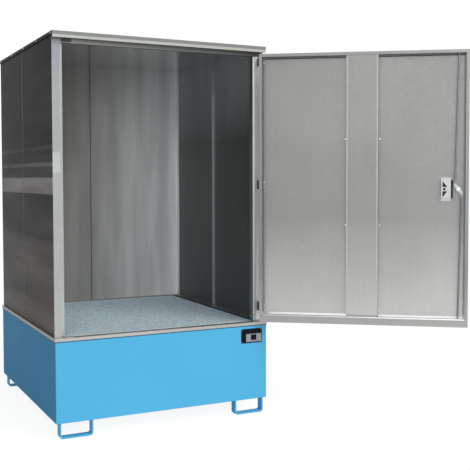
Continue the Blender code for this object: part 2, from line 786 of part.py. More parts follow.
def add_bolt_holes(door):
    """One cutter for each hinge bolt, through the leaf and the skin."""
    radius = BOLT_RADIUS + FIT_GAP
    length = HINGE_STRAP + DOOR_SHEET + 2 * OVERRUN
    back = DOOR_SHEET + OVERRUN
    return [
        as_cutter(
            cylinder(
                f"bolt_hole_{number}", radius, in_door(DOOR_RIGHT - BOLT_FROM_EDGE, back, z),
                length, ALONG_Y, BRIGHT_STEEL, door,
            )
        )
        for number, z in enumerate(bolt_heights(), start=1)
    ]


def add_hinge_bolts(door):
    """A bolt with its head outside and its nut inside, at each hole."""
    for number, z in enumerate(bolt_heights(), start=1):
        name = f"hinge_bolt_{number}"
        x = DOOR_RIGHT - BOLT_FROM_EDGE
        outer = -2 * FIT_GAP - HINGE_STRAP
        inner = SKIN_INSIDE
        end = inner + BOLT_NUT
        shank = end - BOLT_NUT / 2
        bolt = cylinder(
            name, BOLT_RADIUS, in_door(x, shank, z), shank - outer + BOLT_HEAD / 2, ALONG_Y,
            BRIGHT_STEEL, door, sides=SMALL_ROUND_SIDES,
        )
        head = cylinder(
            f"{name}_head", BOLT_HEAD_RADIUS, in_door(x, outer, z), BOLT_HEAD, ALONG_Y,
            BRIGHT_STEEL, door, sides=SMALL_ROUND_SIDES,
        )
        nut = cylinder(
            f"{name}_nut", BOLT_NUT_RADIUS, in_door(x, end, z), BOLT_NUT, ALONG_Y,
            BRIGHT_STEEL, door, sides=HEXAGON_SIDES,
        )
        join(bolt, head, nut)


def add_door_tray(door, bolt_holes):
    """The door's skin with its edges folded back and turned in, wider at the bottom."""
    width, height = DOOR_RIGHT - DOOR_LEFT, DOOR_TOP - DOOR_BOTTOM
    work = box_work(Vector((width, DOOR_THICKNESS, height)))
    face = face_towards(work, (0, 1, 0))
    bmesh.ops.inset_region(work, faces=[face], thickness=DOOR_LIP)
    lowest = min(vert.co.z for vert in face.verts)
    raised = [vert for vert in face.verts if vert.co.z - lowest < DOOR_LIP]
    bmesh.ops.translate(work, vec=(0, 0, DOOR_BOTTOM_LIP - DOOR_LIP), verts=raised)
    bmesh.ops.delete(work, geom=[face], context="FACES")
    centre = in_door(DOOR_MIDDLE_X, DOOR_THICKNESS / 2, DOOR_MIDDLE_Z)
    tray = add_object("door_skin", mesh_from("door_skin", work), ZINC, door, centre)
    thicken(tray, DOOR_SHEET)
    rods = tuple(in_door(LOCK_X, ROD_DEPTH, 0).to_2d())
    cut(
        tray,
        grip_hole(door),
        cylinder(
            "spindle_hole", BUSH_RADIUS + FIT_GAP, in_door(LOCK_X, DOOR_SHEET + OVERRUN, LOCK_Z),
            DOOR_SHEET + 2 * OVERRUN, ALONG_Y, ZINC, door,
        ),
        rod_slot("door_top_slot", door, DOOR_TOP - DOOR_SHEET, DOOR_TOP, rods),
        rod_slot("door_bottom_slot", door, DOOR_BOTTOM, DOOR_BOTTOM + DOOR_SHEET, rods),
        *bolt_holes,
    )


def add_door_ledge(door):
    """The folded strip that closes the door's bottom rail into a box and slopes up to the skin."""
    top = DOOR_BOTTOM + DOOR_BOTTOM_LIP
    back = DOOR_THICKNESS - SKIN_INSIDE
    seat = SKIN_INSIDE + DOOR_SHEET
    path = [
        (back, top - LEDGE_FLANGE),
        (back, top),
        (seat + LEDGE_SLOPE, top),
        (seat, top + LEDGE_SLOPE),
        (seat, top + LEDGE_SLOPE + LEDGE_FLANGE),
    ]
    left = DOOR_LEFT + SKIN_INSIDE
    length = DOOR_RIGHT - DOOR_LEFT - 2 * SKIN_INSIDE
    ledge = folded(
        "door_bottom_ledge", path, length, DOOR_SHEET, 1, ZINC, door,
        in_door(left, 0, 0), ALONG_X,
    )
    rods = tuple(in_door(LOCK_X, ROD_DEPTH, 0).to_2d())
    clearance = BOLT_NUT_RADIUS + NUT_CLEARANCE
    notch = box(
        "ledge_notch",
        in_door(DOOR_RIGHT - BOLT_FROM_EDGE - clearance, 0, min(bolt_heights()) - clearance),
        in_door(DOOR_RIGHT, back, top + LEDGE_SLOPE + LEDGE_FLANGE + OVERRUN), ZINC, door,
    )
    cut(ledge, rod_slot("ledge_slot", door, top - DOOR_SHEET, top, rods), notch)


def add_stiffener(door):
    """The wide hat profile up the middle of the door, cut back over the ledge's flange."""
    bottom = DOOR_BOTTOM + DOOR_BOTTOM_LIP + LEDGE_SLOPE + FIT_GAP
    height = DOOR_TOP - DOOR_SHEET - FIT_GAP - bottom
    depth = STIFFENER_DEPTH - STIFFENER_SHEET
    path = hat(0, STIFFENER_BASE, STIFFENER_FACE, SKIN_INSIDE, depth)
    stiffener = folded(
        "door_stiffener", path, height, STIFFENER_SHEET, 1, ZINC, door,
        in_door(DOOR_MIDDLE_X, 0, bottom),
    )
    reach = STIFFENER_BASE / 2 + OVERRUN
    notch = box(
        "stiffener_notch", in_door(DOOR_MIDDLE_X - reach, -OVERRUN, bottom - OVERRUN),
        in_door(
            DOOR_MIDDLE_X + reach, SKIN_INSIDE + DOOR_SHEET + FIT_GAP,
            bottom + LEDGE_FLANGE + FIT_GAP,
        ),
        ZINC, door,
    )
    cut(stiffener, notch)


def grip_hole(door):
    return box(
        "grip_hole", in_door(GRIP_LEFT - FIT_GAP, -OVERRUN, GRIP_BOTTOM - FIT_GAP),
        in_door(
            GRIP_LEFT + GRIP_WIDTH + FIT_GAP, DOOR_SHEET + OVERRUN,
            GRIP_BOTTOM + GRIP_HEIGHT + FIT_GAP,
        ),
        ZINC, door,
    )


def add_grip(door):
    """The black pan that fingers reach into from outside."""
    bottom = GRIP_BOTTOM
    top = bottom + GRIP_HEIGHT
    right = GRIP_LEFT + GRIP_WIDTH
    outer = -FIT_GAP - GRIP_FLANGE_SHEET
    pan = box(
        "grip_pan", in_door(GRIP_LEFT - GRIP_FLANGE, outer, bottom - GRIP_FLANGE),
        in_door(right + GRIP_FLANGE, -FIT_GAP, top + GRIP_FLANGE), BLACK, door,
    )
    body = box(
        "grip_pan_body", in_door(GRIP_LEFT, outer / 2, bottom),
        in_door(right, GRIP_DEPTH, top), BLACK, door,
    )
    hollow = box(
        "grip_pan_hollow",
        in_door(GRIP_LEFT + GRIP_WALL, outer - OVERRUN, bottom + GRIP_WALL),
        in_door(right - GRIP_WALL, GRIP_DEPTH - GRIP_WALL, top - GRIP_WALL), BLACK, door,
    )
    join(pan, body)
    cut(pan, hollow)


def prism(name, outline, depth, location, parent):
    """A flat outline in X and Z, drawn out towards the front and made a mesh."""
    curve = bpy.data.curves.new(name, "CURVE")
    curve.dimensions = "2D"
    curve.fill_mode = "BOTH"
    curve.extrude = depth / 2
    spline = curve.splines.new("POLY")
    spline.points.add(len(outline) - 1)
    for point, (x, z) in zip(spline.points, outline):
        point.co = (x, z, 0, 1)
    spline.use_cyclic_u = True
    guide = bpy.data.objects.new(name, curve)
    bpy.context.scene.collection.objects.link(guide)
    bpy.context.view_layer.update()
    evaluated = guide.evaluated_get(bpy.context.evaluated_depsgraph_get())
    mesh = bpy.data.meshes.new_from_object(evaluated)
    bpy.data.objects.remove(guide, do_unlink=True)
    work = bmesh.new()
    work.from_mesh(mesh)
    bmesh.ops.remove_doubles(work, verts=work.verts, dist=FIT_GAP / 10)
    bmesh.ops.recalc_face_normals(work, faces=list(work.faces))
    work.to_mesh(mesh)
    work.free()
    return add_object(name, mesh, ZINC, parent, location, ALONG_Y)


def add_grip_bracket(door):
    """The zinc bracket over the pan's back, with two three-cornered windows and a hole."""
    bottom = GRIP_BOTTOM - FIT_GAP
    height = GRIP_HEIGHT + 2 * FIT_GAP
    middle = bottom + height / 2
    seat = SKIN_INSIDE
    depth = GRIP_DEPTH + FIT_GAP - seat
    hat_path = hat(middle, height + 2 * BRACKET_FLANGE, height, seat, depth)
    path = [(y, z) for z, y in hat_path]
    right = GRIP_LEFT + GRIP_WIDTH
    left = right - BRACKET_WIDTH
    bracket = folded(
        "grip_bracket", path, BRACKET_WIDTH, BRACKET_SHEET, -1, ZINC, door,
        in_door(left, 0, 0), ALONG_X,
    )
    length = BRACKET_SHEET + 2 * OVERRUN
    outer = right - WINDOW_MARGIN
    near = WINDOW_HOLE_RADIUS + WINDOW_HOLE_RING
    far = near + WINDOW_HEIGHT
    place = in_door(outer, GRIP_DEPTH + FIT_GAP + BRACKET_SHEET / 2, middle)
    for name, way in (("lower", -1), ("upper", 1)):
        window = [(0, way * near), (0, way * far), (-WINDOW_WIDTH, way * near)]
        cut(bracket, prism(f"bracket_window_{name}", window, length, place, door))
    hole = cylinder(
        "bracket_hole", WINDOW_HOLE_RADIUS,
        in_door(outer - WINDOW_HOLE_INSET, GRIP_DEPTH + BRACKET_SHEET + OVERRUN, middle),
        length, ALONG_Y, ZINC, door,
    )
    cut(bracket, hole)


def add_rod_guides(door):
    """Two blocks that keep the rods' ends in line, at the door's top and under its ledge."""
    top = DOOR_TOP - DOOR_SHEET - FIT_GAP
    ledge = DOOR_BOTTOM + DOOR_BOTTOM_LIP - DOOR_SHEET - FIT_GAP
    rods = tuple(in_door(LOCK_X, ROD_DEPTH, 0).to_2d())
    places = {"rod_guide_upper": top - GUIDE_HEIGHT, "rod_guide_lower": ledge - GUIDE_HEIGHT}
    for name, low in places.items():
        high = low + GUIDE_HEIGHT
        guide = box(
            name, in_door(LOCK_X - GUIDE_WIDTH / 2, SKIN_INSIDE, low),
            in_door(LOCK_X + GUIDE_WIDTH / 2, GUIDE_BACK, high), BLACK, door,
        )
        cut(guide, rod_slot(f"{name}_slot", door, low, high, rods))


def add_lock_bush(door):
    """The flanged bush that carries the lock's spindle in the skin."""
    outer = -FIT_GAP
    inner = SKIN_INSIDE + BUSH_NUT
    body = inner - BUSH_NUT / 2
    bush = cylinder(
        "lock_bush", BUSH_RADIUS, in_door(LOCK_X, body, LOCK_Z), body - outer + BUSH_FLANGE / 2,
        ALONG_Y, BRIGHT_STEEL, door,
    )
    flange = cylinder(
        "lock_bush_flange", BUSH_FLANGE_RADIUS, in_door(LOCK_X, outer, LOCK_Z), BUSH_FLANGE,
        ALONG_Y, BRIGHT_STEEL, door,
    )
    nut = cylinder(
        "lock_bush_nut", BUSH_NUT_RADIUS, in_door(LOCK_X, inner, LOCK_Z), BUSH_NUT,
        ALONG_Y, BRIGHT_STEEL, door,
    )
    bore = cylinder(
        "lock_bush_bore", SPINDLE_RADIUS + FIT_GAP, in_door(LOCK_X, inner + OVERRUN, LOCK_Z),
        inner + BUSH_FLANGE + 2 * OVERRUN, ALONG_Y, BRIGHT_STEEL, door,
    )
    join(bush, flange, nut)
    cut(bush, bore)


def add_turn_handle(lock):
    """The T handle outside, with a bore for the key plug. It stands upright when locked."""
    hub_back = -2 * FIT_GAP - BUSH_FLANGE
    hub_front = hub_back - HANDLE_HUB
    front = hub_front - HANDLE_GRIP
    hub = cylinder(
        "turn_handle_hub", HANDLE_HUB_RADIUS, (0, hub_back, 0), HANDLE_HUB, ALONG_Y, BLACK, lock
    )
    handle = box(
        "turn_handle", (-HANDLE_WIDTH / 2, front, -HANDLE_LENGTH / 2),
        (HANDLE_WIDTH / 2, hub_front + HANDLE_HUB / 2, HANDLE_LENGTH / 2), BLACK, lock,
    )
    edges = handle.modifiers.new("round", "BEVEL")
    edges.width = HANDLE_ROUND
    edges.segments = 2
    join(handle, hub)
    cut(
        handle,
        cylinder(
            "key_bore", PLUG_RADIUS + FIT_GAP, (0, front + PLUG_LENGTH + FIT_GAP, 0),
            PLUG_LENGTH + OVERRUN, ALONG_Y, BLACK, lock,
        ),
    )
    return front


def add_key_plug(lock, front):
    """The lock cylinder's plug, with its keyway."""
    plug = cylinder(
        "key_plug", PLUG_RADIUS, (0, front + PLUG_LENGTH, 0), PLUG_LENGTH, ALONG_Y,
        BRIGHT_STEEL, lock,
    )
    slot = box(
        "keyway", (-PLUG_SLOT / 2, front - OVERRUN, -PLUG_SLOT_LENGTH / 2),
        (PLUG_SLOT / 2, front + PLUG_SLOT_DEPTH, PLUG_SLOT_LENGTH / 2), BRIGHT_STEEL, lock,
    )
    cut(plug, slot)


def add_spindle(lock):
    """The shaft from the handle to the cam, with its bolt head behind the cam."""
    outer = -FIT_GAP - BUSH_FLANGE
    behind = CAM_DEPTH + CAM_SHEET + FIT_GAP
    spindle = cylinder(
        "lock_spindle", SPINDLE_RADIUS, (0, behind + SPINDLE_HEAD / 2, 0),
        behind + SPINDLE_HEAD / 2 - outer, ALONG_Y, BRIGHT_STEEL, lock,
    )
    head = cylinder(
        "lock_spindle_head", SPINDLE_HEAD_RADIUS, (0, behind + SPINDLE_HEAD, 0), SPINDLE_HEAD,
        ALONG_Y, BRIGHT_STEEL, lock, sides=HEXAGON_SIDES,
    )
    join(spindle, head)


def arc(centre, radius, start, end):
    """Points on an arc between two angles in degrees."""
    steps = ROUND_SIDES // 2
    angles = [math.radians(start + (end - start) * step / steps) for step in range(steps + 1)]
    return [
        (centre[0] + radius * math.cos(angle), centre[1] + radius * math.sin(angle))
        for angle in angles
    ]


def cam_outline():
    """A bar with round ends on the two pins, swelling to the hub in the middle."""
    half = CAM_BAR / 2
    swell = math.degrees(math.acos(half / CAM_HUB_RADIUS))
    return [
        *arc((0, CAM_RADIUS), half, 0, 180),
        *arc((0, 0), CAM_HUB_RADIUS, 180 - swell, 180 + swell),
        *arc((0, -CAM_RADIUS), half, 180, 360),
        *arc((0, 0), CAM_HUB_RADIUS, -swell, swell),
    ]


def add_cam(lock):
    """The plate on the spindle that carries a rod pin at each end."""
    middle = CAM_DEPTH + CAM_SHEET / 2
    pin_end = ROD_DEPTH + ROD_EYE_SHEET / 2 + FIT_GAP + CAM_PIN_HEAD
    pin_start = pin_end - CAM_PIN_HEAD / 2
    cam = prism("lock_cam", cam_outline(), CAM_SHEET, (0, middle, 0), lock)
    for name, z in (("upper", CAM_RADIUS), ("lower", -CAM_RADIUS)):
        pin = cylinder(
            f"lock_cam_{name}_pin", CAM_PIN_RADIUS, (0, pin_start, z), pin_start - middle,
            ALONG_Y, BRIGHT_STEEL, lock, sides=SMALL_ROUND_SIDES,
        )
        head = cylinder(
            f"lock_cam_{name}_pin_head", CAM_PIN_HEAD_RADIUS, (0, pin_end, z), CAM_PIN_HEAD,
            ALONG_Y, BRIGHT_STEEL, lock, sides=SMALL_ROUND_SIDES,
        )
        join(cam, pin, head)
    bore = cylinder(
        "lock_cam_bore", SPINDLE_RADIUS + FIT_GAP, (0, middle + CAM_SHEET / 2 + OVERRUN, 0),
        CAM_SHEET + 2 * OVERRUN, ALONG_Y, BRIGHT_STEEL, lock,
    )
    cut(cam, bore)


def add_rod(name, pivot, end, door):
    """A round rod with a flat eye on a cam pin, aimed from the pin at the door's edge."""
    reach = end - pivot
    lean = math.atan2(reach.x, reach.z)
    frame = add_empty(f"{name}_pivot", door, pivot, (0, lean, 0))
    length = reach.length
    rod = cylinder(
        name, ROD_RADIUS, (0, 0, ROD_EYE_LENGTH / 2), length - ROD_EYE_LENGTH / 2, UPRIGHT,
        BRIGHT_STEEL, frame, sides=SMALL_ROUND_SIDES,
    )
    outline = [
        *arc((0, 0), ROD_EYE_RADIUS, 180, 360),
        (ROD_EYE_RADIUS, ROD_EYE_LENGTH),
        (-ROD_EYE_RADIUS, ROD_EYE_LENGTH),
    ]
    eye = prism(f"{name}_eye", outline, ROD_EYE_SHEET, (0, 0, 0), frame)
    hole = cylinder(
        f"{name}_eye_hole", CAM_PIN_RADIUS + FIT_GAP, (0, ROD_EYE_SHEET / 2 + OVERRUN, 0),
        ROD_EYE_SHEET + 2 * OVERRUN, ALONG_Y, BRIGHT_STEEL, frame,
    )
    join(rod, eye)
    cut(rod, hole)


def add_rods(door):
    """The two lock rods, each from its cam pin to the middle of its guide."""
    rest = math.radians(LOCK_REST_DEGREES)
    axis = in_door(LOCK_X, ROD_DEPTH, LOCK_Z)
    arm = CAM_RADIUS * Vector((math.sin(rest), 0, math.cos(rest)))
    add_rod("upper_rod", axis + arm, in_door(LOCK_X, ROD_DEPTH, DOOR_TOP + ROD_PROUD), door)
    add_rod("lower_rod", axis - arm, in_door(LOCK_X, ROD_DEPTH, DOOR_BOTTOM - ROD_PROUD), door)


def add_lock(door):
    """Everything that turns about the lock's axis, standing as in the open door."""
    turn = (0, math.radians(LOCK_REST_DEGREES), 0)
    lock = add_empty("lock_axis", door, in_door(LOCK_X, 0, LOCK_Z), turn)
    front = add_turn_handle(lock)
    add_key_plug(lock, front)
    add_spindle(lock)
    add_cam(lock)


def add_door(cabinet):
    """The door on its hinge axis, turned open."""
    turn = (0, 0, math.radians(OPEN_DEGREES))
    door = add_empty("door_hinge_axis", cabinet, (AXIS_X, AXIS_Y, 0), turn)
    bolt_holes = add_bolt_holes(door)
    add_door_tray(door, bolt_holes)
    add_door_ledge(door)
    add_stiffener(door)
    add_grip(door)
    add_grip_bracket(door)
    add_rod_guides(door)
    add_lock_bush(door)
    add_lock(door)
    add_rods(door)
    add_hinges(cabinet, door, bolt_holes)
    add_hinge_bolts(door)


def stand_on_origin(cabinet):
    """Moves the cabinet so that the middle of its outline on the floor is the origin."""
    bpy.context.view_layer.update()
    graph = bpy.context.evaluated_depsgraph_get()
    points = [
        obj.matrix_world @ vert.co
        for obj in parts.objects
        if obj.type == "MESH"
        for vert in obj.evaluated_get(graph).data.vertices
    ]
    for axis in range(2):
        values = [point[axis] for point in points]
        cabinet.location[axis] = -(min(values) + max(values)) / 2
    print("cabinet corner at", tuple(round(value, 6) for value in cabinet.location))


def main():
    clear_scene()
    cabinet = add_empty("cabinet", None, (0, 0, 0))
    add_feet(cabinet)
    add_sump(cabinet)
    add_rim(cabinet)
    add_bearers(cabinet)
    add_gratings(cabinet)
    add_walls(cabinet)
    add_ribs(cabinet)
    add_posts(cabinet)
    add_roof(cabinet)
    add_header(cabinet)
    add_strikes(cabinet)
    add_nameplate(cabinet)
    add_door(cabinet)
    stand_on_origin(cabinet)


main()
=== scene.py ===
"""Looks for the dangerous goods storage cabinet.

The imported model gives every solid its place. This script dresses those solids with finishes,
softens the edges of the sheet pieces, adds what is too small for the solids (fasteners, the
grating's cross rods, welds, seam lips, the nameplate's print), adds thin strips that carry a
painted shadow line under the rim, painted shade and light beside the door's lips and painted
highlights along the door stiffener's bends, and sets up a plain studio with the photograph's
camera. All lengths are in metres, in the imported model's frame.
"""

import json
import logging
import math
from collections.abc import Callable
from dataclasses import dataclass
from enum import Enum
from functools import cache, cached_property
from typing import ClassVar

import bmesh
import bpy
from mathutils import Matrix, Vector

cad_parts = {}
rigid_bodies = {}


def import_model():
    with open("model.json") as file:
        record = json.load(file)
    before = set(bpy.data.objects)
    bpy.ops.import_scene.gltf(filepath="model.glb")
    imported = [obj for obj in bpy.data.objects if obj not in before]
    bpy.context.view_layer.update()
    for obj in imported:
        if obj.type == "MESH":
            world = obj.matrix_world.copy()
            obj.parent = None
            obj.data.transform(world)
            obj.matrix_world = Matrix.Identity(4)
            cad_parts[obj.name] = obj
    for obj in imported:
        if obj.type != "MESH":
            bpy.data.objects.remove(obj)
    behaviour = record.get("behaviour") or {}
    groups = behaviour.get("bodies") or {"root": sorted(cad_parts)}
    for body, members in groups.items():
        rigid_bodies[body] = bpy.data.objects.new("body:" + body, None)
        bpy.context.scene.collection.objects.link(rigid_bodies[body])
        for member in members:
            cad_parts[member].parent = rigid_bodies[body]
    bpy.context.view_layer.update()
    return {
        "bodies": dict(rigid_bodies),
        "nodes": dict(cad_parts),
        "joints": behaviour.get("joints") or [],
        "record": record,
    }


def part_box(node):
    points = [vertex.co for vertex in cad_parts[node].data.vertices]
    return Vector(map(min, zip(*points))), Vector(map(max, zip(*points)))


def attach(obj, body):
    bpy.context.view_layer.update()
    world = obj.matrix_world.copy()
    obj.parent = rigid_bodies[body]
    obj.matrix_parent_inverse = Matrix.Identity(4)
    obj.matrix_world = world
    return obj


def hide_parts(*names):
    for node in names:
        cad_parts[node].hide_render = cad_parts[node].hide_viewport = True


LOG = logging.getLogger("cabinet_looks")
MM = 0.001
MERGE = 0.01 * MM
WHITE = (1.0, 1.0, 1.0, 1.0)
# Nearly all of a noise lies between these
NOISE_RANGE = (0.35, 0.65)
# The least share of its normal along an axis, for a face that looks along it or leans that way
FLAT_ON = 0.7
LEANING = 0.5
# The least angle of an edge that smooth shading leaves sharp
CREASE = math.radians(35)
# How thin and how thick a weld bead runs, as shares of its radius
BEAD_SWELL = (0.75, 1.15)
BEAD_SEED = 7

Face = bpy.types.MeshPolygon
Material = bpy.types.Material
Mesh = bpy.types.Mesh
Node = bpy.types.Node
Object = bpy.types.Object
Socket = bpy.types.NodeSocket
Tree = bpy.types.NodeTree
Point = tuple[float, float, float]


def hex_colour(code: str) -> tuple[float, float, float, float]:
    """Turns an sRGB hex code into a linear colour.

    Args:
        code: The colour as "#rrggbb".

    Returns:
        Linear red, green and blue, and an alpha of one.
    """
    shares = [int(code[place : place + 2], 16) / 255 for place in (1, 3, 5)]
    linear = [
        share / 12.92 if share <= 0.04045 else ((share + 0.055) / 1.055) ** 2.4 for share in shares
    ]
    return (*linear, 1.0)


def add_node(
    tree: Tree,
    kind: str,
    inputs: dict[str | int, object] | None = None,
    settings: dict[str, object] | None = None,
) -> Node:
    """Adds one node with its settings and links.

    Args:
        tree: The tree that the node goes in.
        kind: Blender's identifier for the node.
        inputs: What each socket takes, by name or number: a value, or another node's output.
        settings: The node's own properties, by name.

    Returns:
        The new node.
    """
    node = tree.nodes.new(kind)
    for name, value in (settings or {}).items():
        setattr(node, name, value)
    for key, value in (inputs or {}).items():
        if isinstance(value, Socket):
            tree.links.new(value, node.inputs[key])
        else:
            node.inputs[key].default_value = value
    return node


def empty_tree(holder: Material | bpy.types.World) -> Tree:
    """Switches the nodes of a material or a world on, and clears them.

    Args:
        holder: The material or the world.

    Returns:
        Its empty tree.
    """
    holder.use_nodes = True
    holder.node_tree.nodes.clear()
    return holder.node_tree


@dataclass(frozen=True)
class Finish:
    """A finish with its two tones, and the record's slot that it stands for."""

    slot: ClassVar[str]
    name: str
    low: str
    high: str
    roughness: float = 0.5
    rough_reach: float = 0.08

    @cached_property
    def material(self) -> Material:
        """The finish's material, made when it is first used.

        Returns:
            The material, whose patterns read the object's own coordinates.
        """
        material = bpy.data.materials.new(self.name)
        tree = empty_tree(material)
        place = add_node(tree, "ShaderNodeTexCoord").outputs["Object"]
        shader = add_node(tree, "ShaderNodeBsdfPrincipled", self.surface(tree, place))
        add_node(tree, "ShaderNodeOutputMaterial", {"Surface": shader.outputs["BSDF"]})
        return material

    def surface(self, tree: Tree, place: Socket) -> dict[str, object]:
        """Lays the finish's patterns.

        Args:
            tree: The material's tree.
            place: The object's own coordinates.

        Returns:
            What the Principled shader takes.
        """
        raise NotImplementedError

    def mottled(
        self, tree: Tree, tone: Socket, rough: Socket, reach: float
    ) -> dict[str, object]:
        """Fades between the two tones by one pattern, and varies the roughness by another.

        Args:
            tree: The material's tree.
            tone: The pattern of the tones, from 0 to 1.
            rough: The pattern of the roughness, from 0 to 1.
            reach: How far the roughness goes to both sides.

        Returns:
            The shader's colour and roughness.
        """
        # A colour mix has its two ends on sockets 6 and 7, and gives its result on 2
        ends = {0: tone, 6: hex_colour(self.low), 7: hex_colour(self.high)}
        colour = add_node(tree, "ShaderNodeMix", ends, {"data_type": "RGBA"})
        least, most = self.roughness - reach, self.roughness + reach
        varied = {"Value": rough, "To Min": least, "To Max": most}
        roughness = add_node(tree, "ShaderNodeMapRange", varied)
        return {"Base Color": colour.outputs[2], "Roughness": roughness.outputs[0]}


@dataclass(frozen=True)
class GalvanisedSheet(Finish):
    """Continuously galvanised steel sheet, rolled flat.

    A metal with a dull sheen. Zinc crystals give it faint cells some 14 mm across, the rolls
    leave fine lines along the strip, and handling leaves it cloudy. The low and high tones are
    those at both ends of a fade along one axis. Each band is painted light, a paler strip across
    it, given by its height, half its width and its gain. Its roughness goes a share of itself
    either way.
    """

    slot: ClassVar[str] = "galvanised_sheet"
    roughness: float = 0.36
    rough_reach: float = 0.07
    edge: float = 0.7
    metallic: float = 0.92
    foot: float = 0.63
    head: float = 2.5
    axis: int = 2
    bands: tuple[Point, ...] = ()
    band_core: float = 0.8
    cloud_size: Point = (0.9, 0.9, 0.5)
    cloud_depth: float = 0.05
    line_size: Point = (6 * MM, 6 * MM, 1.2)
    line_depth: float = 0.015
    cell: float = 14 * MM
    cell_depth: float = 0.02
    wave: float = 0.12
    wave_size: float = 260 * MM
    wave_height: float = 1.2 * MM

    def gain(self, tree: Tree, place: Socket, height: Socket, cell: Socket) -> Socket:
        """Multiplies the cells, the clouds, the rolled lines and the bands.

        Args:
            tree: The material's tree.
            place: The object's own coordinates.
            height: The height above the floor.
            cell: Each crystal's own random value.

        Returns:
            What the sheet's tone is multiplied by.
        """
        crystals = {"Value": cell, "To Min": 1 - self.cell_depth, "To Max": 1 + self.cell_depth}
        factors = [add_node(tree, "ShaderNodeMapRange", crystals)]
        layers = ((self.cloud_size, self.cloud_depth, 3.0), (self.line_size, self.line_depth, 1.0))
        for size, depth, detail in layers:
            stretch = {"Vector": place, "Scale": tuple(1 / length for length in size)}
            stretched = add_node(tree, "ShaderNodeMapping", stretch).outputs[0]
            cloudy = {"Vector": stretched, "Scale": 1.0, "Detail": detail}
            layer = {
                "Value": add_node(tree, "ShaderNodeTexNoise", cloudy).outputs[0],
                "From Min": NOISE_RANGE[0],
                "From Max": NOISE_RANGE[1],
                "To Min": 1 - depth,
                "To Max": 1 + depth,
            }
            factors.append(add_node(tree, "ShaderNodeMapRange", layer))
        for middle, half, strength in self.bands:
            ends = {0: height, 1: middle}
            above = add_node(tree, "ShaderNodeMath", ends, {"operation": "SUBTRACT"})
            ends = {0: above.outputs[0]}
            away = add_node(tree, "ShaderNodeMath", ends, {"operation": "ABSOLUTE"})
            band = {
                "Value": away.outputs[0],
                "From Min": half * self.band_core,
                "From Max": half,
                "To Min": 1 + strength,
                "To Max": 1.0,
            }
            soft = {"interpolation_type": "SMOOTHSTEP"}
            factors.append(add_node(tree, "ShaderNodeMapRange", band, soft))
        gain = factors[0].outputs[0]
        for factor in factors[1:]:
            both = {0: gain, 1: factor.outputs[0]}
            gain = add_node(tree, "ShaderNodeMath", both, {"operation": "MULTIPLY"}).outputs[0]
        return gain

    def surface(self, tree: Tree, place: Socket) -> dict[str, object]:
        """Fades the sheet along its axis and lays the crystals and what handling left.

        Args:
            tree: The material's tree.
            place: The object's own coordinates.

        Returns:
            What the Principled shader takes.
        """
        axes = add_node(tree, "ShaderNodeSeparateXYZ", {0: place}).outputs
        fade = {"Value": axes[self.axis], "From Min": self.foot, "From Max": self.head}
        rise = add_node(tree, "ShaderNodeMapRange", fade).outputs[0]
        crystals = {"Vector": place, "Scale": 1 / self.cell}
        cells = add_node(tree, "ShaderNodeTexVoronoi", crystals).outputs["Color"]
        random = add_node(tree, "ShaderNodeSeparateColor", {"Color": cells}).outputs
        plain = self.mottled(tree, rise, random[1], self.roughness * self.rough_reach)
        gained = {0: plain["Base Color"], "Scale": self.gain(tree, place, axes[2], random[0])}
        toned = add_node(tree, "ShaderNodeVectorMath", gained, {"operation": "SCALE"})
        rolled = {"Vector": place, "Scale": 1 / self.wave_size, "Detail": 1.0}
        waves = add_node(tree, "ShaderNodeTexNoise", rolled).outputs[0]
        raised = {"Height": waves, "Strength": self.wave, "Distance": self.wave_height}
        return plain | {
            "Base Color": toned.outputs[0],
            "Metallic": self.metallic,
            "Specular Tint": (self.edge, self.edge, self.edge, 1.0),
            "Normal": add_node(tree, "ShaderNodeBump", raised).outputs[0],
        }


@dataclass(frozen=True)
class EnamelPaint(Finish):
    """Sprayed and baked blue enamel: even and glossy, with a fine orange peel."""

    slot: ClassVar[str] = "blue_paint"
    roughness: float = 0.42
    rough_reach: float = 0.05
    level: float = 0.1
    cloud: float = 0.6
    peel: float = 4 * MM  # drawn coarser than the real 2 mm, so that it shows
    peel_strength: float = 0.08
    peel_height: float = 0.4 * MM

    def surface(self, tree: Tree, place: Socket) -> dict[str, object]:
        """Lays faint clouds and the orange peel.

        Args:
            tree: The material's tree.
            place: The object's own coordinates.

        Returns:
            What the Principled shader takes.
        """
        cloudy = {"Vector": place, "Scale": 1 / self.cloud, "Detail": 2.0}
        clouds = add_node(tree, "ShaderNodeTexNoise", cloudy).outputs[0]
        fine = {"Vector": place, "Scale": 1 / self.peel, "Detail": 1.0}
        peel = add_node(tree, "ShaderNodeTexNoise", fine).outputs[0]
        raised = {"Height": peel, "Strength": self.peel_strength, "Distance": self.peel_height}
        return self.mottled(tree, clouds, clouds, self.rough_reach) | {
            "Specular IOR Level": self.level,
            "Normal": add_node(tree, "ShaderNodeBump", raised).outputs[0],
        }


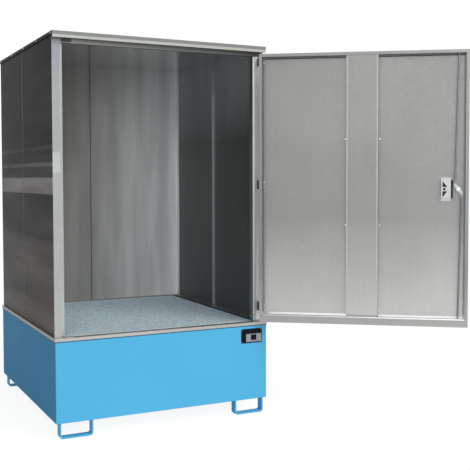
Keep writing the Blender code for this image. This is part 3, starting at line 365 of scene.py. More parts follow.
@dataclass(frozen=True)
class HotDipZinc(Finish):
    """Zinc from a dipping bath on bars: dull and mottled, with pale and dark patches."""

    slot: ClassVar[str] = "hot_dip_zinc"
    roughness: float = 0.55
    rough_reach: float = 0.12
    metallic: float = 0.1
    patch: float = 28 * MM
    grain: float = 4 * MM
    grain_strength: float = 0.3
    grain_height: float = 0.4 * MM

    def surface(self, tree: Tree, place: Socket) -> dict[str, object]:
        """Lays the patches and the grain of the bath.

        Args:
            tree: The material's tree.
            place: The object's own coordinates.

        Returns:
            What the Principled shader takes.
        """
        coarse = {"Vector": place, "Scale": 1 / self.patch, "Detail": 4.0}
        patches = add_node(tree, "ShaderNodeTexNoise", coarse).outputs[0]
        wide = {"Value": patches, "From Min": NOISE_RANGE[0], "From Max": NOISE_RANGE[1]}
        tone = add_node(tree, "ShaderNodeMapRange", wide).outputs[0]
        fine = {"Vector": place, "Scale": 1 / self.grain, "Detail": 2.0}
        grain = add_node(tree, "ShaderNodeTexNoise", fine).outputs[0]
        raised = {"Height": grain, "Strength": self.grain_strength, "Distance": self.grain_height}
        return self.mottled(tree, tone, grain, self.rough_reach) | {
            "Metallic": self.metallic,
            "Normal": add_node(tree, "ShaderNodeBump", raised).outputs[0],
        }


@dataclass(frozen=True)
class PlatedSteel(Finish):
    """Electroplated zinc on machined steel: bright, with faint turning marks."""

    slot: ClassVar[str] = "bright_steel"
    roughness: float = 0.28
    mark: Point = (1 / 60, 1 / 60, 1.5 * MM)

    def surface(self, tree: Tree, place: Socket) -> dict[str, object]:
        """Lays the turning marks.

        Args:
            tree: The material's tree.
            place: The object's own coordinates.

        Returns:
            What the Principled shader takes.
        """
        stretch = {"Vector": place, "Scale": tuple(1 / length for length in self.mark)}
        stretched = add_node(tree, "ShaderNodeMapping", stretch).outputs[0]
        turned = {"Vector": stretched, "Scale": 1.0, "Detail": 2.0}
        marks = add_node(tree, "ShaderNodeTexNoise", turned).outputs[0]
        return self.mottled(tree, marks, marks, self.rough_reach) | {"Metallic": 1.0}


@dataclass(frozen=True)
class Polymer(Finish):
    """Coloured plastic or rubber, moulded, extruded or cast with a fine grain: matt."""

    slot: ClassVar[str] = "black_plastic"
    level: float = 0.3
    wear: float = 35 * MM
    grain: float = 1.2 * MM
    grain_strength: float = 0.25
    grain_height: float = 0.15 * MM

    def surface(self, tree: Tree, place: Socket) -> dict[str, object]:
        """Lays the wear and the grain of the mould.

        Args:
            tree: The material's tree.
            place: The object's own coordinates.

        Returns:
            What the Principled shader takes.
        """
        highlighted = {"Vector": place, "Scale": 1 / self.wear, "Detail": 3.0}
        wear = add_node(tree, "ShaderNodeTexNoise", highlighted).outputs[0]
        fine = {"Vector": place, "Scale": 1 / self.grain, "Detail": 2.0}
        grain = add_node(tree, "ShaderNodeTexNoise", fine).outputs[0]
        raised = {"Height": grain, "Strength": self.grain_strength, "Distance": self.grain_height}
        return self.mottled(tree, wear, wear, self.rough_reach) | {
            "Specular IOR Level": self.level,
            "Normal": add_node(tree, "ShaderNodeBump", raised).outputs[0],
        }


@dataclass(frozen=True)
class Palette:
    """Every finish on the cabinet."""

    # Darker towards the top, with a painted highlight in a band at 1.72 m
    post: Finish = GalvanisedSheet(
        "galvanised_rolled_post", "#a9aba9", "#7f8185", bands=((1.72, 0.07, 0.25),)
    )
    # Painted highlight: a paler copy of the post's sheet on its stepped inner edge
    post_edge_highlight: Finish = GalvanisedSheet("galvanised_post_painted_highlight", "#bdc1bb", "#b9bdb7")
    lid: Finish = GalvanisedSheet("galvanised_rolled_lid", "#717371", "#717371")
    # Out of the weather and out of reach it is still bright enough to mirror the walls
    ceiling: Finish = GalvanisedSheet(
        "galvanised_bright_ceiling", "#e6e6e4", "#e6e6e4", edge=1.0, roughness=0.13, wave=0.03
    )
    fascia: Finish = GalvanisedSheet("galvanised_rolled_header", "#9a9c97", "#9a9c97")
    # Painted shadow: the stop darkens towards the right, where the door and its hinges shade it
    stop: Finish = GalvanisedSheet(
        "galvanised_stop_painted_shadow", "#80827f", "#4f5150", edge=0.4, axis=0, foot=-1.2, head=0.15
    )
    rim: Finish = GalvanisedSheet("galvanised_rolled_rim", "#b4b2af", "#b4b2af", metallic=0.8)
    # Painted shade: the rim's sides are a darker copy of its sheet
    rim_side_shade: Finish = GalvanisedSheet(
        "galvanised_rim_painted_side_shade", "#908f8d", "#908f8d", metallic=0.8
    )
    # The right post's sheet in three tones, as painted light and shade: its face lightest as
    # painted light, its step darker as painted shade, and the step's inner edge paler as a painted
    # highlight
    right_post: Finish = GalvanisedSheet("galvanised_right_post_painted_light", "#f2f6f6", "#eef3f3")
    right_step_shade: Finish = GalvanisedSheet("galvanised_step_painted_shade", "#737879", "#6f7575")
    right_edge_highlight: Finish = GalvanisedSheet("galvanised_step_painted_highlight", "#959b9a", "#919796")
    hinge: Finish = GalvanisedSheet("galvanised_pressed_hinge", "#7c8182", "#7c8182")
    # Outside, the panels carry painted reflections: a dark tone with soft paler bands and streaks
    # across them
    side_wall: Finish = GalvanisedSheet(
        "galvanised_side_painted_reflections",
        "#565452",
        "#343335",
        edge=0.33,
        roughness=0.3,
        bands=(
            (1.573, 0.058, 3.0),
            (1.711, 0.014, 1.3),
            (1.817, 0.012, 0.8),
            (0.94, 0.31, 0.5),
        ),
        cloud_size=(1.6, 1.6, 0.22),
        cloud_depth=0.3,
        line_size=(0.8, 0.8, 22 * MM),
        line_depth=0.08,
    )
    # Where goods stand close to it the zinc has gone dull, so it hardly mirrors; below 1.9 m it is
    # darker, as painted shade
    far_wall: Finish = GalvanisedSheet(
        "galvanised_far_side_painted_shade",
        "#505353",
        "#abadb0",
        edge=0.4,
        metallic=0.1,
        foot=1.9,
        head=2.45,
        cloud_size=(0.16, 0.16, 1.4),
        cloud_depth=0.1,
    )
    # Inside, the rear wall hardly mirrors and carries painted light and shade: darker towards the
    # left, lighter towards the right
    rear_wall: Finish = GalvanisedSheet(
        "galvanised_rear_painted_light_and_shade",
        "#969591",
        "#f0f1f2",
        edge=0.6,
        metallic=0.1,
        axis=0,
        foot=-0.7,
        head=0.2,
        cloud_size=(0.16, 0.16, 1.4),
        cloud_depth=0.2,
    )
    rib: Finish = GalvanisedSheet("galvanised_folded_rib", "#72777a", "#7a7f81", edge=0.5)
    # Painted light: the flank of the right rib that faces the opening is a paler copy of the far
    # wall's sheet
    flank: Finish = GalvanisedSheet("galvanised_flank_painted_light", "#aaafb2", "#989da0", metallic=0.5)
    # The door's sheet fades darker from 0.63 m up to 1.35 m, as painted shade
    door: Finish = GalvanisedSheet(
        "galvanised_rolled_door",
        "#b3b3b1",
        "#838382",
        roughness=0.44,
        head=1.35,
        cloud_size=(0.7, 0.7, 0.6),
    )
    # Painted highlight on the door's hung and top lips
    fold: Finish = GalvanisedSheet("galvanised_fold_painted_highlight", "#d6d8d4", "#d6d8d4")
    # Painted highlight strips along the stiffener's bends, paler than the door towards the top
    bend: Finish = GalvanisedSheet("galvanised_bend_painted_highlight", "#b3b3b1", "#979895", head=1.35)
    rail: Finish = GalvanisedSheet("galvanised_folded_rail", "#9d9d9b", "#7d7d7b", head=1.0)
    ledge: Finish = GalvanisedSheet("galvanised_folded_ledge", "#c0c1c2", "#c0c1c2")
    # Painted highlight: near white and glossy for the light that the slope catches
    slope: Finish = GalvanisedSheet(
        "galvanised_slope_painted_highlight", "#fbfcfc", "#fbfcfc", edge=1.0, roughness=0.22, metallic=1.0
    )
    # Painted shade: the upper strike is dark for the shade under the header
    strike: Finish = GalvanisedSheet("galvanised_strike_painted_shade", "#4b4d4c", "#4b4d4c", edge=0.4)
    paint: Finish = EnamelPaint("enamel_sprayed_blue", "#60c4f1", "#5bbfed")
    # Painted shade: the sides get a darker copy of the paint, with hardly any sheen, as they face
    # away from the white studio
    side_paint_shade: Finish = EnamelPaint("enamel_blue_painted_side_shade", "#4da3d6", "#489ed2", level=0.01)
    grating: Finish = HotDipZinc("zinc_hot_dipped_bars", "#eaf6fa", "#cfe0e7")
    plated: Finish = PlatedSteel("steel_zinc_plated", "#d5d7d9", "#b9bcbf")
    bracket: Finish = PlatedSteel("zinc_pressed_bracket", "#a6a8a9", "#989a9b", roughness=0.35)
    rod: Finish = PlatedSteel("steel_drawn_rod", "#828586", "#767979", roughness=0.35)
    plastic: Finish = Polymer("polyamide_moulded_black", "#1b1c20", "#232428")
    foil: Finish = Polymer(
        "polyester_foil_grey", "#a4a6a8", "#989a9e", grain=3 * MM, roughness=0.4
    )
    plate: Finish = Polymer("polyester_foil_dark", "#05080f", "#080d1a", level=0.1)
    # Strips beside the door's lips stand in for their shadow lines: a painted shadow under the top
    # lip, painted shade beside the hung lip, and painted light beside the free lip
    lip_shadows: Finish = Polymer("lip_strip_painted_shadow", "#4c4e4e", "#565858", level=0.2)
    hung_lip_shade: Finish = Polymer("lip_strip_painted_shade", "#9c9e9c", "#a4a6a4", level=0.2)
    free_lip_light: Finish = Polymer("lip_strip_painted_light", "#d0d2d0", "#d6d8d6", level=0.2)
    # Painted shadow: a thin dark strip that stands in for the shadow line under the rim
    under_rim_shadow: Finish = Polymer("rim_painted_shadow_line", "#2f627f", "#376b88", level=0.1)


def loose(name: str, data: Mesh | bpy.types.Light | bpy.types.Camera) -> Object:
    """Links a mesh, a lamp or a camera to the scene as an object of its own.

    Args:
        name: The object's name.
        data: What it shows or does.

    Returns:
        The new object.
    """
    obj = bpy.data.objects.new(name, data)
    bpy.context.scene.collection.objects.link(obj)
    return obj


def baked(obj: Object) -> Mesh:
    """Turns an object's evaluated result into a plain mesh and removes the object.

    Args:
        obj: An object with live modifiers.

    Returns:
        The finished mesh.
    """
    bpy.context.view_layer.update()
    graph = bpy.context.evaluated_depsgraph_get()
    mesh = bpy.data.meshes.new_from_object(obj.evaluated_get(graph))
    bpy.data.objects.remove(obj, do_unlink=True)
    return mesh


def closed_mesh(work: bmesh.types.BMesh, name: str) -> Mesh:
    """Turns an edit mesh into a mesh and frees it.

    Args:
        work: The edit mesh.
        name: The mesh's name.

    Returns:
        The mesh.
    """
    mesh = bpy.data.meshes.new(name)
    work.to_mesh(mesh)
    work.free()
    return mesh


def rounded(mesh: Mesh, width: float, segments: int = 2, sharp: float = 30.0) -> Mesh:
    """Rounds a mesh's sharp edges.

    Args:
        mesh: The mesh.
        width: The rounding's width.
        segments: How many faces round each edge gets.
        sharp: The least angle of an edge that is rounded, in degrees.

    Returns:
        The rounded mesh.
    """
    obj = loose(mesh.name, mesh)
    edges = obj.modifiers.new("edges", "BEVEL")
    edges.width = width
    edges.segments = segments
    edges.limit_method = "ANGLE"
    edges.angle_limit = math.radians(sharp)
    return baked(obj)


def smooth(mesh: Mesh) -> None:
    """Shades a mesh smooth, but for its sharp edges."""
    mesh.shade_smooth()
    mesh.set_sharp_from_angle(angle=CREASE)


def block(low: Point, high: Point, ease: float) -> Mesh:
    """A solid block between two corners, with rounded edges.

    Args:
        low: Its lowest corner.
        high: Its highest corner.
        ease: The rounding's width.

    Returns:
        The mesh.
    """
    work = bmesh.new()
    bmesh.ops.create_cube(work, size=1)
    bmesh.ops.scale(work, vec=Vector(high) - Vector(low), verts=work.verts)
    bmesh.ops.translate(work, vec=(Vector(low) + Vector(high)) / 2, verts=work.verts)
    edges = list(work.edges)
    bmesh.ops.bevel(work, geom=edges, offset=ease, segments=3, profile=0.5, affect="EDGES")
    return closed_mesh(work, "block")


def finish_faces(obj: Object, finish: Finish, chosen: Callable[[Face], bool]) -> None:
    """Gives some of a piece's faces another finish.

    Args:
        obj: The piece.
        finish: The other finish.
        chosen: Tells which faces get it.
    """
    obj.data.materials.append(finish.material)
    number = len(obj.data.materials) - 1
    for face in obj.data.polygons:
        if chosen(face):
            face.material_index = number


def on_side(node: str) -> Callable[[Face], bool]:
    """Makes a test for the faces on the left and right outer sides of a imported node.

    Args:
        node: The node's name.

    Returns:
        The test.
    """
    low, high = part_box(node)

    def test(face: Face) -> bool:
        """Tells whether a face is on one of the sides."""
        return abs(face.normal.x) > FLAT_ON and not low.x + MM < face.center.x < high.x - MM

    return test


def points_mesh(name: str, points: list[Point], joined: bool = False) -> Mesh:
    """A mesh of bare points, joined in a row where it is a path.

    Args:
        name: The mesh's name.
        points: The points.
        joined: Whether edges join them in order.

    Returns:
        The mesh.
    """
    edges = [(place, place + 1) for place in range(len(points) - 1)] if joined else []
    mesh = bpy.data.meshes.new(name)
    mesh.from_pydata(points, edges, [])
    return mesh


class Pattern:
    """A geometry tree that repeats or sweeps a form, and gives it a finish."""

    def __init__(self, name: str, **sockets: str) -> None:
        """Starts the tree.

        Args:
            name: The tree's name.
            sockets: Each input's name, and what kind of value it takes.
        """
        self.tree = bpy.data.node_groups.new(name, "GeometryNodeTree")
        kinds = {"Geometry": "Geometry", **sockets, "finish": "Material"}
        for label, kind in kinds.items():
            self.tree.interface.new_socket(
                label, in_out="INPUT", socket_type=f"NodeSocket{kind}"
            )
        self.tree.interface.new_socket(
            "Geometry", in_out="OUTPUT", socket_type="NodeSocketGeometry"
        )
        self.given = add_node(self.tree, "NodeGroupInput").outputs

    def close(self, geometry: Socket) -> "Pattern":
        """Ends the tree: instances made real, and their finish set.

        Args:
            geometry: What the tree made.

        Returns:
            The pattern itself.
        """
        real = add_node(self.tree, "GeometryNodeRealizeInstances", {"Geometry": geometry})
        coated = {"Geometry": real.outputs[0], "Material": self.given["finish"]}
        coat = add_node(self.tree, "GeometryNodeSetMaterial", coated)
        add_node(self.tree, "NodeGroupOutput", {0: coat.outputs[0]})
        return self

    def run(self, name: str, mesh: Mesh, finish: Finish, **values: object) -> Mesh:
        """Runs the tree on a mesh.

        Args:
            name: The result's name.
            mesh: What the tree starts from.
            finish: The result's finish.
            values: The tree's inputs, by name.

        Returns:
            The result as a plain mesh.
        """
        obj = loose(name, mesh)
        modifier = obj.modifiers.new("pattern", "NODES")
        modifier.node_group = self.tree
        values["finish"] = finish.material
        for item in self.tree.interface.items_tree:
            if item.in_out == "INPUT" and item.name in values:
                modifier[item.identifier] = values[item.name]
        return baked(obj)


class HeadShape(Enum):
    """What a fastener's head looks like."""

    DOME = "dome"
    HEXAGON = "hexagon"


@cache
def heads_pattern(shape: HeadShape) -> Pattern:
    """Builds the tree that sets a fastener's head on each point.

    Args:
        shape: What the head looks like.

    Returns:
        The tree.
    """
    pattern = Pattern(f"heads_{shape.value}", size="Vector", facing="Vector")
    tree, given = pattern.tree, pattern.given
    if shape is HeadShape.DOME:
        sphere = {"Segments": 12, "Rings": 6, "Radius": 1.0}
        head = add_node(tree, "GeometryNodeMeshUVSphere", sphere).outputs[0]
    else:
        prism = {"Vertices": 6, "Radius": 1.0, "Depth": 2.0}
        head = add_node(tree, "GeometryNodeMeshCylinder", prism).outputs[0]
    facing = {"Vector": given["facing"]}
    turned = add_node(tree, "FunctionNodeAlignRotationToVector", facing, {"axis": "Z"}).outputs[0]
    placed = {
        "Points": given["Geometry"],
        "Instance": head,
        "Rotation": turned,
        "Scale": given["size"],
    }
    return pattern.close(add_node(tree, "GeometryNodeInstanceOnPoints", placed).outputs[0])


@cache
def strap_pattern() -> Pattern:
    """Builds the tree that bends a flat bar along a path.

    Returns:
        The tree.
    """
    pattern = Pattern("bent_strap", width="Float", thickness="Float", bend="Float", edge="Float")
    tree, given = pattern.tree, pattern.given
    path = add_node(tree, "GeometryNodeMeshToCurve", {"Mesh": given["Geometry"]}).outputs[0]
    bend = {"Curve": path, "Count": 9, "Radius": given["bend"]}
    bent = add_node(tree, "GeometryNodeFilletCurve", bend, {"mode": "POLY"}).outputs[0]
    sides = {"Width": given["thickness"], "Height": given["width"]}
    section = add_node(
        tree, "GeometryNodeCurvePrimitiveQuadrilateral", sides, {"mode": "RECTANGLE"}
    ).outputs[0]
    ease = {"Curve": section, "Count": 2, "Radius": given["edge"]}
    eased = add_node(tree, "GeometryNodeFilletCurve", ease, {"mode": "POLY"}).outputs[0]
    swept = {"Curve": bent, "Profile Curve": eased, "Fill Caps": True}
    return pattern.close(add_node(tree, "GeometryNodeCurveToMesh", swept).outputs[0])


@cache
def weld_pattern() -> Pattern:
    """Builds the tree that lays an uneven weld bead along a path.

    Returns:
        The tree.
    """
    pattern = Pattern("weld_bead", radius="Float")
    tree, given = pattern.tree, pattern.given
    path = add_node(tree, "GeometryNodeMeshToCurve", {"Mesh": given["Geometry"]}).outputs[0]
    fine = add_node(tree, "GeometryNodeResampleCurve", {"Curve": path, "Count": 24}).outputs[0]
    # A plain number's least and most are sockets 2 and 3
    uneven = {2: BEAD_SWELL[0], 3: BEAD_SWELL[1], "Seed": BEAD_SEED}
    number = {"data_type": "FLOAT"}
    wobble = add_node(tree, "FunctionNodeRandomValue", uneven, number).outputs[1]
    swollen = {"Curve": fine, "Radius": wobble}
    bead = add_node(tree, "GeometryNodeSetCurveRadius", swollen).outputs[0]
    circle = {"Resolution": 6, "Radius": given["radius"]}
    ring = add_node(tree, "GeometryNodeCurvePrimitiveCircle", circle).outputs[0]
    swept = {"Curve": bead, "Profile Curve": ring, "Scale": wobble, "Fill Caps": True}
    return pattern.close(add_node(tree, "GeometryNodeCurveToMesh", swept).outputs[0])


@cache
def rods_pattern() -> Pattern:
    """Builds the tree that lays rods side by side, along X.

    Returns:
        The tree.
    """
    pattern = Pattern(
        "cross_rods", count="Int", start="Vector", step="Vector", radius="Float", length="Float"
    )
    tree, given = pattern.tree, pattern.given
    row = {"Count": given["count"], "Start Location": given["start"], "Offset": given["step"]}
    line = add_node(tree, "GeometryNodeMeshLine", row, {"mode": "OFFSET"}).outputs[0]
    bar = {"Vertices": 6, "Radius": given["radius"], "Depth": given["length"]}
    rod = add_node(tree, "GeometryNodeMeshCylinder", bar).outputs[0]
    placed = {"Points": line, "Instance": rod, "Rotation": (0.0, math.radians(90), 0.0)}
    return pattern.close(add_node(tree, "GeometryNodeInstanceOnPoints", placed).outputs[0])


@dataclass(frozen=True)
class Datum:
    """Where the cabinet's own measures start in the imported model's frame."""

    nodes: dict[str, Object]
    corner: Vector
    hinge: Vector
    open_angle: float = math.radians(142)

    @classmethod
    def read(cls, frame: dict) -> "Datum":
        """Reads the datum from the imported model.


        Returns:
            The datum, with the corner at the sump's front left on the floor.
        """
        low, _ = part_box("sump_tray")
        swing = next(joint for joint in frame["joints"] if joint["name"] == "door_swing")
        hinge = Vector((swing["pos_m"][0], swing["pos_m"][1], 0))
        return cls(frame["nodes"], Vector((low.x, low.y, 0)), hinge)

    def body(self) -> Matrix:
        """The matrix from the cabinet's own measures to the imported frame."""
        return Matrix.Translation(self.corner)

    def door(self) -> Matrix:
        """Carries the closed door's measures to where the open door stands.

        Returns:
            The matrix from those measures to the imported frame.
        """
        axis = Matrix.Translation(self.hinge)
        swing = Matrix.Rotation(self.open_angle, 4, "Z")
        return axis @ swing @ axis.inverted() @ self.body()


@dataclass
class Assembly:
    """A sub-assembly of the cabinet, with the body that its pieces ride on."""

    rides_on: ClassVar[str] = "cabinet"
    datum: Datum
    palette: Palette = Palette()

    def matrix(self) -> Matrix:
        """The matrix from the sub-assembly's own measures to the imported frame."""
        return self.datum.body()

    def add(
        self, name: str, mesh: Mesh, finish: Finish, *stands_for: str, body: str = ""
    ) -> Object:
        """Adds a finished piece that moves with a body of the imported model.

        Args:
            name: The piece's name.
            mesh: Its mesh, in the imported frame.
            finish: Its main finish.
            stands_for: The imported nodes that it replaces.
            body: The body that it rides on, where that isn't the sub-assembly's.

        Returns:
            The new object.
        """
        obj = loose(name, mesh)
        if not mesh.materials:
            mesh.materials.append(finish.material)
        body = body or self.rides_on
        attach(obj, body)
        if stands_for:
            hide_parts(*stands_for)
        LOG.info("%s: %d faces on %s", name, len(mesh.polygons), body)
        return obj

    def dress(self, finish: Finish, *nodes: str) -> None:
        """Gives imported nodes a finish.

        Args:
            finish: The finish.
            nodes: The nodes' names.
        """
        for node in nodes:
            obj = self.datum.nodes[node]
            if not obj.material_slots:
                obj.data.materials.append(finish.material)
            for place in obj.material_slots:
                place.material = finish.material
            LOG.info("%s dressed with %s", node, finish.material.name)

    def soften(
        self, node: str, finish: Finish, width: float, score: float | None = None
    ) -> Object:
        """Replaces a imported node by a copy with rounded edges.

        Args:
            node: The node's name.
            finish: The copy's finish.
            width: The rounding's width.
            score: Where the copy's faces are parted across X, so that they can differ in finish.

        Returns:
            The new piece.
        """
        work = bmesh.new()
        work.from_mesh(self.datum.nodes[node].data)
        bmesh.ops.remove_doubles(work, verts=work.verts, dist=MERGE)
        flat = math.radians(1)
        bmesh.ops.dissolve_limit(work, angle_limit=flat, verts=work.verts, edges=work.edges)
        mesh = rounded(closed_mesh(work, f"{node}_soft"), width)
        if score is not None:
            work = bmesh.new()
            work.from_mesh(mesh)
            parts = [*work.verts, *work.edges, *work.faces]
            bmesh.ops.bisect_plane(work, geom=parts, plane_co=(score, 0, 0), plane_no=(1, 0, 0))
            work.to_mesh(mesh)
            work.free()
        return self.add(f"{node}_dressed", mesh, finish, node)

    def bar(
        self, name: str, low: Point, high: Point, ease: float, finish: Finish, *stands_for: str
    ) -> None:
        """Adds a block with eased edges, in the sub-assembly's own measures.

        Args:
            name: The piece's name.
            low: Its lowest corner.
            high: Its highest corner.
            ease: How wide its edges are eased.
            finish: Its finish.
            stands_for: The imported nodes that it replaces.
        """
        mesh = block(low, high, ease)
        mesh.transform(self.matrix())
        self.add(name, mesh, finish, *stands_for)

    def heads(
        self,
        name: str,
        points: list[Point],
        facing: Point,
        size: tuple[float, float],
        finish: Finish,
        shape: HeadShape = HeadShape.DOME,
    ) -> None:
        """Sets one fastener's head on each point, half sunk in the surface.

        Args:
            name: The piece's name.
            points: Where the heads sit, in the sub-assembly's own measures.
            facing: Which way they face, in those measures.
            size: Their radius and how high they stand.
            finish: Their finish.
            shape: What they look like.
        """
        radius, height = size
        mesh = heads_pattern(shape).run(
            name, points_mesh(name, points), finish, size=(radius, radius, height), facing=facing
        )
        if shape is HeadShape.DOME:
            mesh.shade_smooth()
        mesh.transform(self.matrix())
        self.add(name, mesh, finish)


@dataclass
class Sump(Assembly):
    """The blue tray with its bent strap feet, weld seams and nameplate."""

    edge: float = 1.2 * MM
    strap: float = 10 * MM
    bend: float = 17 * MM
    bead: float = 2.6 * MM
    weld_inset: float = 4 * MM
    weld_aside: float = 1 * MM
    plate_ease: float = 0.5 * MM
    print_ease: float = 0.1 * MM
    print_sunk: float = 0.2 * MM
    rivet: tuple[float, float] = (2.4 * MM, 1.1 * MM)
    rivet_inset: float = 7 * MM

    def matrix(self) -> Matrix:
        """The sump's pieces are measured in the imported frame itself."""
        return Matrix.Identity(4)

    def foot(self, node: str) -> None:
        """Bends one foot and lays a fillet weld along the inner face of each of its legs.

        Args:
            node: The foot's name.
        """
        paint = self.palette.paint
        low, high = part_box(node)
        middle = (low.y + high.y) / 2
        half = self.strap / 2
        path = [
            (low.x + half, middle, high.z),
            (low.x + half, middle, low.z + half),
            (high.x - half, middle, low.z + half),
            (high.x - half, middle, high.z),
        ]
        name = f"{node}_strap"
        mesh = strap_pattern().run(
            name,
            points_mesh(name, path, True),
            paint,
            width=high.y - low.y,
            thickness=self.strap,
            bend=self.bend,
            edge=self.edge,
        )
        smooth(mesh)
        self.add(name, mesh, paint, node)
        inset = self.weld_inset
        aside = self.strap + self.weld_aside
        for number, x in enumerate((low.x + aside, high.x - aside), 1):
            name = f"{node}_weld_{number}"
            path = [(x, low.y + inset, high.z), (x, high.y - inset, high.z)]
            mesh = weld_pattern().run(name, points_mesh(name, path, True), paint, radius=self.bead)
            mesh.shade_smooth()
            self.add(name, mesh, paint)

    def nameplate(self) -> None:
        """Rivets the blank nameplate on, with a bare printed field and a dark square."""
        low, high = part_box("nameplate")
        self.bar(
            "nameplate_body",
            tuple(low),
            tuple(high),
            self.plate_ease,
            self.palette.plate,
            "nameplate",
        )
        # Left, bottom, right and top as shares of the plate, and how far each stands proud
        prints = {
            "nameplate_field": (0.234, 0.08, 0.966, 0.633, 0.35 * MM, self.palette.foil),
            "nameplate_square": (0.46, 0.19, 0.724, 0.58, 0.5 * MM, self.palette.plate),
        }
        width, height = high.x - low.x, high.z - low.z
        for name, (left, bottom, right, top, proud, finish) in prints.items():
            start = (low.x + left * width, low.y - proud, low.z + bottom * height)
            end = (low.x + right * width, low.y + self.print_sunk, low.z + top * height)
            self.bar(name, start, end, self.print_ease, finish)
        inset = self.rivet_inset
        rivets = [
            (x, low.y, z)
            for x in (low.x + inset, high.x - inset)
            for z in (low.z + inset, high.z - inset)
        ]
        self.heads("nameplate_rivets", rivets, (0, -1, 0), self.rivet, self.palette.plated)

    def build(self) -> None:
        """Dresses the tray and its bearers and adds the feet and the nameplate."""
        tray = self.soften("sump_tray", self.palette.paint, self.edge)
        # The tray's sides get the paint's painted shade
        finish_faces(tray, self.palette.side_paint_shade, on_side("sump_tray"))
        bearers = [f"grating_bearer_{place}" for place in ("front", "middle", "rear")]
        self.dress(self.palette.paint, *bearers)
        for place in ("front_left", "front_right", "rear_left", "rear_right"):
            self.foot(f"foot_{place}")
        self.nameplate()


@dataclass
class CabinetShell(Assembly):
    """Rim, walls, ribs, corners, posts, header, strikes and roof."""

    sheet_edge: float = 0.55 * MM
    panel_edge: float = 0.2 * MM
    rim_edge: float = 0.9 * MM
    roof_edge: float = 0.5 * MM
    seam_y: float = 880 * MM
    seam_x: float = 727 * MM
    seam_width: float = 5 * MM
    seam_proud: float = 0.9 * MM
    seam_ease: float = 0.3 * MM
    width: float = 1460 * MM
    depth: float = 1650 * MM
    wall_inset: float = 6 * MM
    bottom: float = 633 * MM
    top: float = 2500 * MM
    stop_plane: float = 49 * MM
    post_face: float = 47 * MM
    # Width of the right post's inner edge that carries a painted highlight
    highlight_width: float = 9 * MM
    ceiling_sheet: float = 3 * MM
    # Where the painted shadow line under the rim lies
    shadow_line_low: float = 606 * MM
    shadow_line_high: float = 612 * MM
    shadow_line_proud: float = 1.2 * MM
    shadow_line_ease: float = 0.4 * MM
    screw: tuple[float, float] = (6 * MM, 2.6 * MM)
    screw_level: float = 2511 * MM
    screw_places: tuple[float, ...] = (45 * MM, 425 * MM, 810 * MM, 1200 * MM, 1600 * MM)

    def walls(self) -> None:
        """Dresses the panels, the ribs and the rear corners."""
        finishes = self.palette
        self.dress(finishes.side_wall, "wall_left_front", "wall_left_rear")
        inner = {"right": (finishes.far_wall, 0), "rear": (finishes.rear_wall, 1)}
        for panel in ("right_front", "right_rear", "rear_left", "rear_right"):
            finish, axis = inner[panel.split("_")[0]]
            wall = self.soften(f"wall_{panel}", finish, self.panel_edge)
            # The outer faces carry the side panels' painted reflections
            finish_faces(
                wall, finishes.side_wall, lambda face, axis=axis: face.normal[axis] > LEANING
            )
        rear = ("seam_rib_rear", "corner_rear_left", "corner_rear_right")
        self.dress(finishes.rear_wall, *rear)
        self.dress(finishes.rib, "seam_rib_left")
        rib = self.soften("seam_rib_right", finishes.far_wall, self.sheet_edge)
        # The rib's flank facing the opening gets painted light
        finish_faces(rib, finishes.flank, lambda face: face.normal.y < -LEANING)

    def seams(self) -> None:
        """Folds a lip down each seam outside."""
        half, proud, inset = self.seam_width / 2, self.seam_proud, self.wall_inset
        right, rear = self.width - inset, self.depth - inset
        lips = {
            "left": ((inset - proud, self.seam_y - half), (inset, self.seam_y + half)),
            "right": ((right, self.seam_y - half), (right + proud, self.seam_y + half)),
            "rear": ((self.seam_x - half, rear), (self.seam_x + half, rear + proud)),
        }
        for side, (start, end) in lips.items():
            low, high = (*start, self.bottom), (*end, self.top)
            self.bar(f"seam_lip_{side}", low, high, self.seam_ease, self.palette.rib)

    def front(self) -> None:
        """Softens the posts, the header and the rim, and dresses the strikes."""
        finishes = self.palette
        left = self.soften("post_left", finishes.post, self.sheet_edge)
        low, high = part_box("post_left")
        fold = low.x + self.post_face
        # Painted highlight on the left post's stepped inner edge
        finish_faces(left, finishes.post_edge_highlight, lambda face: face.center.x > fold)
        self.right_post()
        header = self.soften("header", finishes.fascia, self.sheet_edge, high.x)
        stop = self.datum.corner.y + self.stop_plane
        # The stop gets a painted shadow, darker towards the hinges
        finish_faces(header, finishes.stop, lambda face: face.center.y > stop)

        def on_post(face: Face) -> bool:
            """Tells the stop's front left of the opening, which reads as the post's top."""
            ahead = face.center.y > stop and face.normal.y < -LEANING
            return ahead and face.center.x < high.x

        finish_faces(header, finishes.post, on_post)
        rim = self.soften("base_rim", finishes.rim, self.rim_edge)
        # The rim's sides get painted shade
        finish_faces(rim, finishes.rim_side_shade, lambda face: abs(face.normal.x) > FLAT_ON)
        self.dress(finishes.plated, "lower_strike")
        # The upper strike gets painted shade
        self.dress(finishes.strike, "upper_strike")

    def right_post(self) -> None:
        """Softens the right post, whose stepped inner edge carries a painted highlight and whose
        step carries painted shade.
        """
        low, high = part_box("post_right")
        highlighted = low.x + self.highlight_width
        post = self.soften("post_right", self.palette.right_post, self.sheet_edge, highlighted)
        fold = high.x - self.post_face
        finish_faces(post, self.palette.right_step_shade, lambda face: face.center.x < fold)
        finish_faces(post, self.palette.right_edge_highlight, lambda face: face.center.x < highlighted)

    def roof(self) -> None:
        """Softens the lid, whose sides carry the walls' painted reflections and whose inside
        mirrors.
        """
        lid = self.soften("roof", self.palette.lid, self.roof_edge)
        low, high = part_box("roof")
        ceiling = high.z - self.ceiling_sheet

        def inside(face: Face) -> bool:
            """Tells whether a face looks into the cabinet."""
            inner = low.x + MM < face.center.x < high.x - MM
            return inner and face.normal.z < -FLAT_ON and face.center.z > ceiling

        finish_faces(lid, self.palette.side_wall, on_side("roof"))
        finish_faces(lid, self.palette.ceiling, inside)

